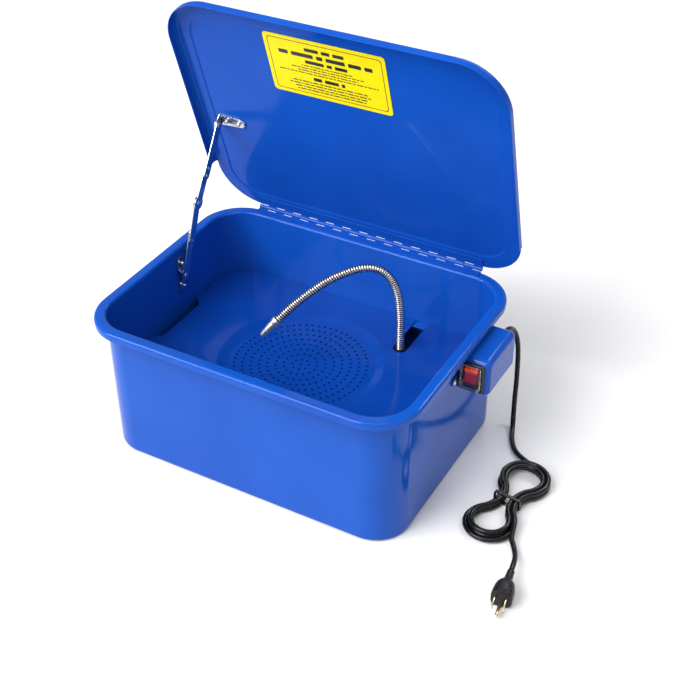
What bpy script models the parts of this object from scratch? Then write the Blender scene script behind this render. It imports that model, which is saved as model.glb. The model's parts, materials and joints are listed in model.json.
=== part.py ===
"""Bench-top parts washer tank: hinged lid on a folding stay, lift-out parts tray, flexible
spout fed by a submerged pump, and a switch box with a mains cord.

Units are metres and +Z is up. The origin is the centre of the tank's flat underside, the front
is -Y and the lid hinges at the back. The lid stands open on its stay.
"""
import math

import bmesh
import bpy
from mathutils import Matrix, Vector

MM = 0.001
GAP = 0.3 * MM  # between pieces that touch
SHEET = 1.2 * MM  # steel sheet of the tank, lid, tray and switch box
CORNER_STEPS = 5  # flats in each rounded corner

# Tank: the outer faces of the walls, and the rim that is folded outward around them
TANK_HALF_X = 205.5 * MM
TANK_HALF_Y = 152 * MM
TANK_CORNER = 45.5 * MM
TANK_HEIGHT = 193 * MM
FLOOR_BEND = 5 * MM
RIM_REACH = 14.5 * MM
RIM_BEND = 2.8 * MM
RIM_ROUND = 4.5 * MM
RIM_LIP = 10 * MM

# Lid: the hinge axis, and the pan measured from it with the lid shut
HINGE_Y = 167.5 * MM
HINGE_Z = 196.1 * MM
LID_OPEN = math.radians(73)
LID_HALF_X = 223 * MM
LID_REACH = 339 * MM
LID_BACK = 2 * MM
LID_CORNER = 62 * MM
LID_TOP = 4.3 * MM
LID_DEPTH = 14 * MM
LID_BEND = 8 * MM
LID_LIP_START = 66 * MM
EMBOSS_INSET = 22 * MM
EMBOSS_SLOPE = 3 * MM
EMBOSS_RISE = 1 * MM
LABEL_HALF_X = 80 * MM
LABEL_HALF_Y = 43 * MM
LABEL_CORNER = 5 * MM
LABEL_THICK = 0.3 * MM
LABEL_X = -12 * MM
LABEL_ALONG = 268 * MM

# Piano hinge
KNUCKLE_COUNT = 26
HINGE_HALF = 165 * MM
KNUCKLE_RADIUS = 2.8 * MM
LEAF_THICK = 1.1 * MM
LEAF_TANK_WIDTH = 13 * MM
LEAF_LID_WIDTH = 16 * MM
PIN_RADIUS = 1 * MM

# Lid stay: two riveted arms that fold at an elbow, in planes side by side along X
STAY_LOW = Vector((0, 29 * MM, 154 * MM))
STAY_TOP_ALONG = 144 * MM
STAY_TOP_DROP = 5.5 * MM
LOWER_ARM = 98.4 * MM
UPPER_ARM = 102.6 * MM
STRIP_HALF = 6.2 * MM
STRIP_THICK = 1.5 * MM
ELBOW_LOBE = 9 * MM
PLANE_STEP = 1.8 * MM
PLANE_0 = -196.8 * MM
STAY_PIN = 2 * MM
RIVET = 1.6 * MM
ARM_RIVET_ALONG = 48.5 * MM  # joins the two strips of the lower arm
LINK_RIVETS = (36.5 * MM, 46.5 * MM)  # join the two strips of the upper arm
BRACKET_HALF_Y = 7 * MM
BRACKET_RIVET_SPREAD = 17.5 * MM
LID_RIVET_ALONG = 148 * MM
LID_RIVETS_X = (-181 * MM, -163 * MM)
EAR_RADIUS = 7 * MM  # of the lid bracket's upright ear

# Holes for fasteners and leads, as radii in mm
RIVET_HOLE = 1.9
SCREW_HOLE = 2.3
LEAD_HOLE = 4.8
RELIEF_HOLE = 5.5

# Blind rivet, as (radius, height) in mm
RIVET_PROFILE = ((3.6, 0), (3.4, 0.9), (1.6, 1.2), (1.6, 4.9), (2.5, 5.2), (2.5, 8.6), (1.2, 9.6))

# Tray and its ledges
TRAY_TOP = 100 * MM
TRAY_SIDE_GAP = 1 * MM
DISH_CENTRE = Vector((-5 * MM, 0, 0))
DISH_RADIUS = 106 * MM
DISH_FLOOR_RADIUS = 95 * MM
DISH_DEPTH = 4 * MM
HOLE_RINGS = 4
HOLE_PITCH = 21 * MM
HOLE_RADIUS = 1.8 * MM
FINGER_NOTCH_HALF = 54 * MM
FINGER_NOTCH_INNER_HALF = 40 * MM
FINGER_NOTCH_MIDDLE_Y = 4 * MM
FINGER_NOTCH_DEPTH = 14 * MM
LEDGE_HALF = 145 * MM
LEDGE_WIDTH = 12 * MM
LEDGE_DROP = 15 * MM

# Flexible spout: foot position, compass heading of the arch, and its outline (reach, height)
HOSE_X = 92.5 * MM
HOSE_Y = 85.5 * MM
HOSE_HEADING = math.radians(-141.9)
HOSE_RADIUS = 5.4 * MM
HOSE_NOTCH = 9.2 * MM
FOOT_BOTTOM = 93 * MM
FLEX_BOTTOM = 112 * MM
FLEX_TOP = 124 * MM
ARCH_ROUTE = (
    (0, 124),
    (0.2, 145),
    (1.4, 164),
    (4, 183),
    (9.6, 201),
    (18.2, 215),
    (28.6, 223.6),
    (41, 227.6),
    (55, 227),
    (69.5, 223.2),
    (84, 217.6),
    (98, 210),
    (112.5, 200.2),
    (127, 189),
    (141.5, 176.3),
    (154.5, 163.5),
)
NOZZLE_END = (177.4, 140)
ARCH_SPACING = 8 * MM

# Pump on the tank floor
PUMP_HALF_X = 23 * MM
PUMP_BACK_Y = 100 * MM
PUMP_FRONT_Y = 40 * MM
PUMP_BOTTOM = 9 * MM
PUMP_TOP = 60 * MM
CHAMBER_RADIUS = 17 * MM
CHAMBER_FRONT_Y = 26 * MM
CHAMBER_Z = 30 * MM
TUBE_OUTER = 8 * MM
TUBE_INNER = 6.3 * MM
LEAD_RADIUS = 2 * MM
LEAD_ROUTE = (
    (116.1, 70, 45),
    (122.5, 69.8, 44.8),
    (132, 67, 39),
    (142, 63, 28),
    (152, 57.5, 16),
    (164, 50.5, 8),
    (176, 44, 8.5),
    (186, 39.5, 18),
    (191.5, 38, 34),
    (193, 38, 54),
    (193, 38, 90),
    (193, 38, 124),
    (193.6, 40, 135),
    (196.3, 44.4, 144),
    (201.3, 46.7, 147.4),
    (207.5, 47.1, 147.8),
    (214.4, 47.6, 148.4),
)
LEAD_HOLE_Y = 47 * MM
LEAD_HOLE_Z = 147.8 * MM

# Switch box on the right wall
BOX_OUT_X = 246 * MM
BOX_FRONT_Y = 12.8 * MM
BOX_BACK_Y = 93 * MM
BOX_BOTTOM_Z = 127 * MM
BOX_TOP_Z = 178 * MM
BOX_CORNER = 9 * MM
BOX_BEND = 7.5 * MM
EAR_Z = 146.5 * MM
EAR_HALF = 6.5 * MM
EAR_SCREW = 11.2 * MM
SWITCH_X = 223.8 * MM
SWITCH_Z = 154.3 * MM
BEZEL_HALF_X = 16.5  # in mm
BEZEL_HALF_Z = 19.3
BEZEL_FRONT_Y = 8.8 * MM
ROCKER_PIVOT_Y = 15.5 * MM
ROCKER_HALF_X = 7.9 * MM
ROCKER_TILT = math.radians(8)

# Mains cord: from the strain relief down to the surface, then a tied hank and the plug
CORD_RADIUS = 3.25 * MM
CORD_X = 222 * MM
CORD_Z = 151.5 * MM
RELIEF_END_Y = 113 * MM
CORD_SPACING = 12 * MM
DROP_ROUTE = (
    (222, 113.5, 151.5),
    (222.1, 121.4, 150.8),
    (222.7, 129.2, 148.4),
    (223.6, 136, 143.8),
    (224.8, 141.2, 137.4),
    (226.2, 144.4, 129.9),
    (227.6, 145.9, 121.8),
    (228.8, 146.5, 113.7),
    (229.7, 146.5, 105.5),
    (230.5, 146.4, 93.5),
    (231.3, 145.3, 78),
    (231.9, 144.6, 62),
    (232.4, 143.2, 47),
    (233.4, 140, 33),
    (235.6, 134.4, 20),
    (239.2, 125.3, 10),
    (243.8, 113, 4.6),
    (248.3, 101, 3.3),
    (254, 90, 3.3),
    (261.5, 79.5, 3.4),
    (271.5, 71, 4),
    (286, 63.4, 4.7),
)
TAIL_ROUTE = (
    (321.4, -70, 7.6),
    (328, -79.5, 5),
    (334, -89.5, 5.6),
    (338.3, -100, 8.8),
    (341.3, -111.5, 11.8),
    (343.2, -122.8, 12.4),
)
HANK_CENTRE = Vector((292 * MM, -15 * MM, 0))
HANK_TURN = math.radians(-6)
HANK_LOBE = 23 * MM
HANK_WAIST = 6.7 * MM
HANK_SWEEP = 40 * MM
HANK_BOTTOM = 1.6 * MM
HANK_HEIGHT = 12.2 * MM
HANK_OUTSET = 9.75 * MM
PLUG_HEADING = math.radians(-81)
PLUG_START = Vector((343.5 * MM, -123.6 * MM, 12.4 * MM))
BLADE_SPREAD = 6.35 * MM

# Colours (red, green, blue), roughness and metallic value of each finish
FINISHES = {
    "blue_enamel": ((0.03, 0.13, 0.55), 0.25, 0.0),
    "zinc": ((0.75, 0.76, 0.78), 0.25, 1.0),
    "chrome": ((0.8, 0.8, 0.8), 0.18, 1.0),
    "black_rubber": ((0.02, 0.02, 0.02), 0.6, 0.0),
    "black_plastic": ((0.02, 0.02, 0.022), 0.35, 0.0),
    "red_lens": ((0.8, 0.03, 0.02), 0.2, 0.0),
    "clear_vinyl": ((0.75, 0.78, 0.8), 0.15, 0.0),
    "yellow_label": ((0.95, 0.8, 0.05), 0.4, 0.0),
    "brass": ((0.8, 0.6, 0.25), 0.3, 1.0),
    "pump_plastic": ((0.03, 0.03, 0.035), 0.5, 0.0),
    "impeller_plastic": ((0.8, 0.8, 0.78), 0.4, 0.0),
}
SMOOTH_ANGLE = math.radians(35)
RIGHT = (1, 0, 0)
BACK = (0, 1, 0)
UP = (0, 0, 1)


def clear_scene():
    for thing in list(bpy.data.objects):
        bpy.data.objects.remove(thing, do_unlink=True)


def material(finish):
    found = bpy.data.materials.get(finish)
    if found:
        return found
    colour, roughness, metallic = FINISHES[finish]
    made = bpy.data.materials.new(finish)
    made.use_nodes = True
    shader = made.node_tree.nodes["Principled BSDF"]
    shader.inputs["Base Color"].default_value = (*colour, 1)
    shader.inputs["Roughness"].default_value = roughness
    shader.inputs["Metallic"].default_value = metallic
    made.diffuse_color = (*colour, 1)
    return made


def make(name, bm, finish, parent=None):
    """Turn a bmesh into a named object, with its faces out and round faces smooth."""
    bmesh.ops.recalc_face_normals(bm, faces=bm.faces)
    mesh = bpy.data.meshes.new(name)
    bm.to_mesh(mesh)
    bm.free()
    mesh.shade_smooth()
    mesh.set_sharp_from_angle(angle=SMOOTH_ANGLE)
    mesh.materials.append(material(finish))
    thing = bpy.data.objects.new(name, mesh)
    bpy.context.scene.collection.objects.link(thing)
    thing.parent = parent
    return thing


def empty(name, location, tilt=0.0):
    thing = bpy.data.objects.new(name, None)
    thing.location = location
    thing.rotation_euler = (tilt, 0, 0)
    bpy.context.scene.collection.objects.link(thing)
    return thing


def combine(target, tool, operation="DIFFERENCE"):
    """Cut a guide object out of another, or join it on, and hide the guide."""
    tool.hide_render = True
    tool.display_type = "WIRE"
    step = target.modifiers.new(tool.name, "BOOLEAN")
    step.operation = operation
    step.object = tool
    step.solver = "EXACT"
    return target


def loft(bm, rings, endless=False):
    """Skin a row of equal rings; cap both ends, or join the last ring to the first."""
    rows = [[bm.verts.new(point) for point in ring] for ring in rings]
    pairs = list(zip(rows, rows[1:]))
    if endless:
        pairs.append((rows[-1], rows[0]))
    for row, following in pairs:
        for i, vert in enumerate(row):
            j = (i + 1) % len(row)
            bm.faces.new((vert, row[j], following[j], following[i]))
    if not endless:
        bm.faces.new(rows[0])
        bm.faces.new(rows[-1])
    return rows


def rounded(half_u, half_v, radius, steps=CORNER_STEPS):
    """Outline of a rectangle with round corners, as (u, v) pairs about its middle."""
    points = []
    for corner, (side_u, side_v) in enumerate(((1, 1), (-1, 1), (-1, -1), (1, -1))):
        for step in range(steps + 1):
            angle = math.pi / 2 * (corner + step / steps)
            u = side_u * (half_u - radius) + radius * math.cos(angle)
            v = side_v * (half_v - radius) + radius * math.sin(angle)
            points.append((u, v))
    return points


def circle(radius, sides):
    angles = (2 * math.pi * i / sides for i in range(sides))
    return [(radius * math.cos(a), radius * math.sin(a)) for a in angles]


def aim(origin, direction):
    """Matrix that puts local +Z along a direction, at an origin."""
    turn = Vector(direction).to_track_quat("Z", "Y").to_matrix().to_4x4()
    return Matrix.Translation(origin) @ turn


def turned(name, profile, origin, direction, finish, sides=16, parent=None, endless=False):
    """A turned piece. The profile is (radius, height) pairs in mm along its axis."""
    place = aim(Vector(origin), direction)
    rings = []
    for radius, height in profile:
        flat = circle(radius * MM, sides)
        rings.append([place @ Vector((u, v, height * MM)) for u, v in flat])
    bm = bmesh.new()
    loft(bm, rings, endless)
    return make(name, bm, finish, parent)


def drill(name, radius, origin, direction, start=0, end=10, parent=None):
    """A cutter for a round hole, with its radius and its two ends in mm."""
    return turned(name, ((radius, start), (radius, end)), origin, direction, "zinc", 12, parent)


def prism(name, outline, axis, start, end, finish, parent=None):
    """Extrude a flat outline along X, Y or Z. The outline gives the other two, in order."""
    bm = bmesh.new()
    rings = []
    for along in (start, end):
        ring = []
        for pair in outline:
            place = list(pair)
            place.insert("XYZ".index(axis), along)
            ring.append(Vector(place))
        rings.append(ring)
    loft(bm, rings)
    return make(name, bm, finish, parent)


def block(name, low, high, finish, parent=None):
    outline = [(low[0], low[1]), (high[0], low[1]), (high[0], high[1]), (low[0], high[1])]
    return prism(name, outline, "Z", low[2], high[2], finish, parent)


def smooth_points(route, spacing):
    """Evenly spaced points on a smooth curve through a route's own points."""
    ends = [2 * route[0] - route[1], *route, 2 * route[-1] - route[-2]]
    dense = []
    for before, start, end, after in zip(ends, ends[1:], ends[2:], ends[3:]):
        for step in range(12):
            t = step / 12
            bend = 2 * before - 5 * start + 4 * end - after
            twist = 3 * start - before - 3 * end + after
            dense.append(start + 0.5 * t * (end - before + t * (bend + t * twist)))
    dense.append(route[-1])
    lengths = [0.0]
    for here, there in zip(dense, dense[1:]):
        lengths.append(lengths[-1] + (there - here).length)
    count = max(2, round(lengths[-1] / spacing))
    points = []
    place = 0
    for i in range(count + 1):
        wanted = lengths[-1] * i / count
        while place < len(lengths) - 2 and lengths[place + 1] < wanted:
            place += 1
        share = (wanted - lengths[place]) / (lengths[place + 1] - lengths[place])
        points.append(dense[place].lerp(dense[place + 1], min(1.0, share)))
    return points


def tube(name, points, radius, finish, resolution=2, parent=None):
    """A round bar along a row of points: a curve with a bevel and filled ends."""
    curve = bpy.data.curves.new(name, "CURVE")
    curve.dimensions = "3D"
    curve.bevel_depth = radius
    curve.bevel_resolution = resolution
    curve.use_fill_caps = True
    spline = curve.splines.new("POLY")
    spline.points.add(len(points) - 1)
    for knot, point in zip(spline.points, points):
        knot.co = (*point, 1)
    curve.materials.append(material(finish))
    thing = bpy.data.objects.new(name, curve)
    bpy.context.scene.collection.objects.link(thing)
    thing.parent = parent
    return thing


def in_metres(route):
    return [Vector(point) * MM for point in route]


# ---------------------------------------------------------------- tank


def tank_ring(outset, height):
    outline = rounded(TANK_HALF_X + outset, TANK_HALF_Y + outset, TANK_CORNER + outset)
    return [Vector((x, y, height)) for x, y in outline]


def arc(centre_out, centre_up, radius, first, last, steps=2):
    """Quarter-bend points as (outset, height), with angles in degrees from outward."""
    points = []
    for i in range(steps + 1):
        angle = math.radians(first + (last - first) * i / steps)
        out = centre_out + radius * math.cos(angle)
        points.append((out, centre_up + radius * math.sin(angle)))
    return points


def build_tank():
    """The drawn tub: flat floor, upright walls and a rim folded out and down."""
    bend_z = TANK_HEIGHT - SHEET - RIM_BEND
    round_out = RIM_REACH - RIM_ROUND
    round_z = TANK_HEIGHT - RIM_ROUND
    lip_z = TANK_HEIGHT - RIM_LIP
    profile = arc(-FLOOR_BEND, FLOOR_BEND, FLOOR_BEND, -90, 0, 3)
    profile += arc(RIM_BEND, bend_z, RIM_BEND, 180, 90)
    profile += arc(round_out, round_z, RIM_ROUND - SHEET, 90, 0)
    profile += [(RIM_REACH - SHEET, lip_z), (RIM_REACH, lip_z)]
    profile += arc(round_out, round_z, RIM_ROUND, 0, 90, 3)
    profile += arc(RIM_BEND, bend_z, RIM_BEND + SHEET, 90, 180, 3)
    profile += arc(-FLOOR_BEND, FLOOR_BEND, FLOOR_BEND - SHEET, 0, -90, 3)
    bm = bmesh.new()
    loft(bm, [tank_ring(*point) for point in profile])
    tank = make("tank_shell", bm, "blue_enamel")
    left = -TANK_HALF_X - 5 * MM
    right = TANK_HALF_X - 5 * MM
    for i, height in enumerate(bracket_rivet_heights()):
        combine(tank, drill(f"tank_rivet_hole_{i}", RIVET_HOLE, (left, STAY_LOW.y, height), RIGHT))
    for i, y in enumerate(ear_screw_places()):
        combine(tank, drill(f"tank_screw_hole_{i}", SCREW_HOLE, (right, y, EAR_Z), RIGHT))
    at = (right, LEAD_HOLE_Y, LEAD_HOLE_Z)
    combine(tank, drill("tank_lead_hole", LEAD_HOLE, at, RIGHT))


def build_ledge(name, side):
    """An angle strip on the front or back wall that the tray rests on."""
    wall = TANK_HALF_Y - SHEET - GAP
    top = TRAY_TOP - SHEET - GAP
    thick = 1.5 * MM
    outline = [
        (wall, top),
        (wall - LEDGE_WIDTH, top),
        (wall - LEDGE_WIDTH, top - thick),
        (wall - thick, top - thick),
        (wall - thick, top - LEDGE_DROP),
        (wall, top - LEDGE_DROP),
    ]
    outline = [(side * y, z) for y, z in outline]
    prism(name, outline, "X", -LEDGE_HALF, LEDGE_HALF, "blue_enamel")


def tray_ring(height):
    inset = SHEET + TRAY_SIDE_GAP
    outline = rounded(TANK_HALF_X - inset, TANK_HALF_Y - inset, TANK_CORNER - inset)
    return [Vector((x, y, height)) for x, y in outline]


def hole_places():
    """Rings of drain holes about the middle of the dish."""
    places = [(0.0, 0.0)]
    for ring in range(1, HOLE_RINGS + 1):
        count = 6 * ring
        for i in range(count):
            angle = 2 * math.pi * i / count
            places.append((ring * HOLE_PITCH * math.cos(angle), ring * HOLE_PITCH * math.sin(angle)))
    return places


def drain_holes():
    bm = bmesh.new()
    for x, y in hole_places():
        rings = []
        for z in (TRAY_TOP - 12 * MM, TRAY_TOP + 3 * MM):
            ring = [Vector((x + u, y + v, z)) + DISH_CENTRE for u, v in circle(HOLE_RADIUS, 6)]
            rings.append(ring)
        loft(bm, rings)
    return make("drain_holes", bm, "zinc")


def finger_notch(name, side):
    """Sloped-ended notch in the tray's edge, to lift it by."""
    edge = TANK_HALF_X
    inner = TANK_HALF_X - SHEET - FINGER_NOTCH_DEPTH
    middle = FINGER_NOTCH_MIDDLE_Y
    outline = [
        (side * edge, middle - FINGER_NOTCH_HALF),
        (side * inner, middle - FINGER_NOTCH_INNER_HALF),
        (side * inner, middle + FINGER_NOTCH_INNER_HALF),
        (side * edge, middle + FINGER_NOTCH_HALF),
    ]
    return prism(name, outline, "Z", TRAY_TOP - 5 * MM, TRAY_TOP + 5 * MM, "zinc")


def hose_notch():
    """Round-ended notch from the tray's back edge, for the spout to pass through."""
    outline = [(HOSE_X + HOSE_NOTCH, TANK_HALF_Y), (HOSE_X - HOSE_NOTCH, TANK_HALF_Y)]
    for i in range(13):
        angle = math.pi * (1 + i / 12)
        x = HOSE_X + HOSE_NOTCH * math.cos(angle)
        outline.append((x, HOSE_Y + HOSE_NOTCH * math.sin(angle)))
    return prism("hose_notch", outline, "Z", TRAY_TOP - 5 * MM, TRAY_TOP + 5 * MM, "zinc")


def build_tray(lift):
    """Flat tray with a shallow drilled dish, two finger notches and the spout's notch."""
    bm = bmesh.new()
    loft(bm, [tray_ring(TRAY_TOP - SHEET), tray_ring(TRAY_TOP)])
    tray = make("parts_tray", bm, "blue_enamel", lift)
    floor = DISH_FLOOR_RADIUS / MM
    rim = DISH_RADIUS / MM
    depth = DISH_DEPTH / MM
    sheet = SHEET / MM
    at = DISH_CENTRE + Vector((0, 0, TRAY_TOP))
    under = turned("dish_under", ((floor, -depth - sheet), (rim + 0.4, -sheet / 2)), at, (0, 0, 1),
                   "zinc", 40)
    inside = turned("dish_inside", ((floor, -depth), (rim, 0), (rim, 2)), at, (0, 0, 1), "zinc", 40)
    combine(tray, under, "UNION")
    combine(tray, inside)
    combine(tray, drain_holes())
    combine(tray, finger_notch("finger_notch_left", -1))
    combine(tray, finger_notch("finger_notch_right", 1))
    combine(tray, hose_notch())


# ---------------------------------------------------------------- lid and hinge


def lid_ring(inset, height):
    """Ring of the lid, in the hinge's own axes with the lid shut."""
    half_y = (LID_REACH + LID_BACK) / 2
    middle = LID_BACK - half_y
    outline = rounded(LID_HALF_X - inset, half_y - inset, LID_CORNER - inset)
    return [Vector((x, y + middle, height)) for x, y in outline]


def build_lid(axis):
    """Pressed pan with a raised middle; its lip stops short of the hinge corners."""
    under = LID_TOP - SHEET
    lip_end = LID_TOP - LID_DEPTH
    bend_z = LID_TOP - LID_BEND
    rings = [
        (EMBOSS_INSET + EMBOSS_SLOPE, LID_TOP + EMBOSS_RISE),
        (EMBOSS_INSET, LID_TOP),
    ]
    outer = arc(-LID_BEND, bend_z, LID_BEND, 90, 0, 4)
    rings += [(-out, height) for out, height in outer]
    rings += [(0, lip_end), (SHEET, lip_end)]
    inner = arc(-LID_BEND, bend_z, LID_BEND - SHEET, 0, 90, 4)
    rings += [(-out, height) for out, height in inner]
    rings += [
        (EMBOSS_INSET, under),
        (EMBOSS_INSET + EMBOSS_SLOPE, under + EMBOSS_RISE),
    ]
    bm = bmesh.new()
    loft(bm, [lid_ring(*ring) for ring in rings])
    lid = make("lid_panel", bm, "blue_enamel", axis)
    far = LID_HALF_X + 10 * MM
    combine(lid, block("lip_end_cut", (-far, -LID_LIP_START, -20 * MM), (far, 20 * MM, under),
                       "zinc", axis))
    for i, x in enumerate(LID_RIVETS_X):
        at = (x, -LID_RIVET_ALONG, 0)
        combine(lid, drill(f"lid_rivet_hole_{i}", RIVET_HOLE, at, UP, parent=axis))


def knuckle_outline(side):
    """Curled edge of a hinge leaf, solid, as (y, z) about the hinge axis.

    The leaf lies below the axis for side -1 and above it for side +1."""
    near = KNUCKLE_RADIUS - LEAF_THICK
    start = math.pi - math.asin(near / KNUCKLE_RADIUS)
    reach = KNUCKLE_RADIUS + 0.8 * MM
    points = [(-reach, side * KNUCKLE_RADIUS), (-reach, side * near)]
    for i in range(8):
        angle = start + (2.5 * math.pi - start) * i / 7
        y = KNUCKLE_RADIUS * math.cos(angle)
        points.append((y, side * KNUCKLE_RADIUS * math.sin(angle)))
    return points


def build_leaf(name, side, first, width, axis):
    """One leaf of the piano hinge with every second knuckle, bored for the pin."""
    near = KNUCKLE_RADIUS - LEAF_THICK
    low, high = sorted((side * near, side * KNUCKLE_RADIUS))
    edge = -KNUCKLE_RADIUS - 0.4 * MM
    leaf = block(name, (-HINGE_HALF, -width, low), (HINGE_HALF, edge, high), "blue_enamel", axis)
    pitch = 2 * HINGE_HALF / KNUCKLE_COUNT
    outline = knuckle_outline(side)
    bm = bmesh.new()
    for i in range(first, KNUCKLE_COUNT, 2):
        start = -HINGE_HALF + i * pitch + GAP / 2
        ends = (start, start + pitch - GAP)
        loft(bm, [[Vector((x, y, z)) for y, z in outline] for x in ends])
    curls = make(f"{name}_curls", bm, "zinc", axis)
    combine(leaf, curls, "UNION")
    bore = turned(f"{name}_bore", ((1.3, 0), (1.3, 340)), (-170 * MM, 0, 0), (1, 0, 0), "zinc", 8,
                  axis)
    combine(leaf, bore)


def build_hinge(level_axis, lid_axis):
    build_leaf("hinge_leaf_tank", -1, 0, LEAF_TANK_WIDTH, level_axis)
    build_leaf("hinge_leaf_lid", 1, 1, LEAF_LID_WIDTH, lid_axis)
    pin = PIN_RADIUS / MM
    length = 2 * HINGE_HALF / MM
    turned("hinge_pin", ((pin, 0), (pin, length)), (-HINGE_HALF, 0, 0), (1, 0, 0), "zinc", 8,
           level_axis)


def build_label(axis):
    """Plain sticker on the inside of the lid."""
    under = LID_TOP - SHEET + EMBOSS_RISE - GAP
    flat = rounded(LABEL_HALF_X, LABEL_HALF_Y, LABEL_CORNER, 3)
    outline = [(LABEL_X + x, y - LABEL_ALONG) for x, y in flat]
    prism("lid_label", outline, "Z", under - LABEL_THICK, under, "yellow_label", axis)


# ---------------------------------------------------------------- lid stay


def bracket_rivet_heights():
    return (STAY_LOW.z - BRACKET_RIVET_SPREAD, STAY_LOW.z + BRACKET_RIVET_SPREAD)


def stay_points():
    """The stay's low pivot, elbow and top pivot, in the YZ plane, with the lid open."""
    along = STAY_TOP_ALONG
    drop = STAY_TOP_DROP
    y = HINGE_Y - along * math.cos(LID_OPEN) - drop * math.sin(LID_OPEN)
    z = HINGE_Z + along * math.sin(LID_OPEN) - drop * math.cos(LID_OPEN)
    top = Vector((0, y, z))
    span = top - STAY_LOW
    reach = span.length
    near = (LOWER_ARM**2 - UPPER_ARM**2 + reach**2) / (2 * reach)
    rise = math.sqrt(max(LOWER_ARM**2 - near**2, 0))
    run = span / reach
    side = Vector((0, -run.z, run.y))
    return STAY_LOW, STAY_LOW + run * near + side * rise, top


def plane_x(number):
    """Left face of one of the side-by-side planes that the stay's strips lie in."""
    return PLANE_0 + number * PLANE_STEP


def end_arc(middle, radius, facing):
    """Round end of a strip, met by its straight sides at their half width."""
    back = math.asin(min(1.0, STRIP_HALF / radius))
    points = []
    for i in range(13):
        angle = -(math.pi - back) + 2 * (math.pi - back) * i / 12
        u = -radius * math.sin(angle) * facing
        points.append((u, middle + facing * radius * math.cos(angle)))
    return points


def strip(name, start, end, low, high, radii, holes, plane):
    """A flat strip of the stay, from `low` to `high` along the line from start to end."""
    line = end - start
    outline = end_arc(high, radii[1], 1) + end_arc(low, radii[0], -1)
    bm = bmesh.new()
    rings = [[Vector((x, u, v)) for u, v in outline] for x in (0, STRIP_THICK)]
    loft(bm, rings)
    piece = make(name, bm, "zinc")
    place = Vector((plane_x(plane), start.y, start.z))
    tilt = math.atan2(line.z, line.y) - math.pi / 2
    piece.location = place
    piece.rotation_euler = (tilt, 0, 0)
    for i, (along, radius) in enumerate(holes):
        at = (0, 0, along)
        combine(piece, drill(f"{name}_hole_{i}", radius / MM, at, RIGHT, -2, 4, piece))
    return piece


def build_stay():
    """Two arms, each of two riveted strips; the upper pair is the fusible link."""
    low, elbow, top = stay_points()
    pin_hole = STAY_PIN + GAP
    rivet_hole = RIVET + GAP
    half = STRIP_HALF
    strip("stay_lower_strip_bottom", low, elbow, 0, 57 * MM, (half, half),
          ((0, pin_hole), (ARM_RIVET_ALONG, rivet_hole)), 0)
    strip("stay_lower_strip_top", low, elbow, 48 * MM, LOWER_ARM, (half, ELBOW_LOBE),
          ((ARM_RIVET_ALONG, rivet_hole), (LOWER_ARM, pin_hole)), 1)
    link_holes = [(link, rivet_hole) for link in LINK_RIVETS]
    strip("stay_upper_strip_bottom", elbow, top, 0, 46 * MM, (ELBOW_LOBE, half),
          ((0, pin_hole), *link_holes), 2)
    strip("stay_upper_strip_top", elbow, top, 37 * MM, UPPER_ARM, (half, half),
          ((UPPER_ARM, pin_hole), *link_holes), 3)
    build_stay_rivets(low, elbow, top)


def on_line(start, end, along, x):
    point = start + (end - start).normalized() * along
    return Vector((x, point.y, point.z))


def build_stay_rivets(low, elbow, top):
    """Pivot rivets and strip rivets. The elbow's rivet is in two halves, one on each arm."""
    head = ((3.2, 0), (3.2, 0.5), (2, 0.8))
    at = on_line(low, elbow, 0, plane_x(0) - 3.3 * MM)
    turned("stay_low_pivot_rivet", ((3, 0), (3, 0.9), (2, 1), (2, 5.1), (4, 5.2), (3.2, 6.3)), at,
           RIGHT, "zinc")
    at = on_line(low, elbow, ARM_RIVET_ALONG, plane_x(0) - 1.6 * MM)
    turned("stay_lower_arm_rivet", ((2.2, 0), (2.6, 1.2), (1.6, 1.3), (1.6, 4.9), (1.2, 5.2)), at,
           RIGHT, "zinc", 12)
    at = on_line(low, elbow, LOWER_ARM, plane_x(1) - 1.4 * MM)
    turned("elbow_rivet_head", (*head, (2, 1.1), (2, 2.9)), at, RIGHT, "zinc")
    at = on_line(low, elbow, LOWER_ARM, plane_x(2))
    turned("elbow_rivet_tail", ((2, 0), (2, 1.7), (3.6, 1.8), (3, 2.9)), at, RIGHT, "zinc")
    for i, link in enumerate(LINK_RIVETS):
        at = on_line(elbow, top, link, plane_x(2) + 0.1 * MM)
        profile = ((1.6, 0), (1.6, 3.5), (2.6, 3.6), (2.2, 4.6))
        turned(f"fusible_link_rivet_{i + 1}", profile, at, RIGHT, "brass", 12)
    at = on_line(elbow, top, UPPER_ARM, plane_x(2) - 1.4 * MM)
    turned("stay_top_pivot_rivet", ((3, 0), (3, 1), (2, 1.1), (2, 5), (4, 5.1), (3.2, 6.2)), at,
           RIGHT, "zinc")


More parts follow.
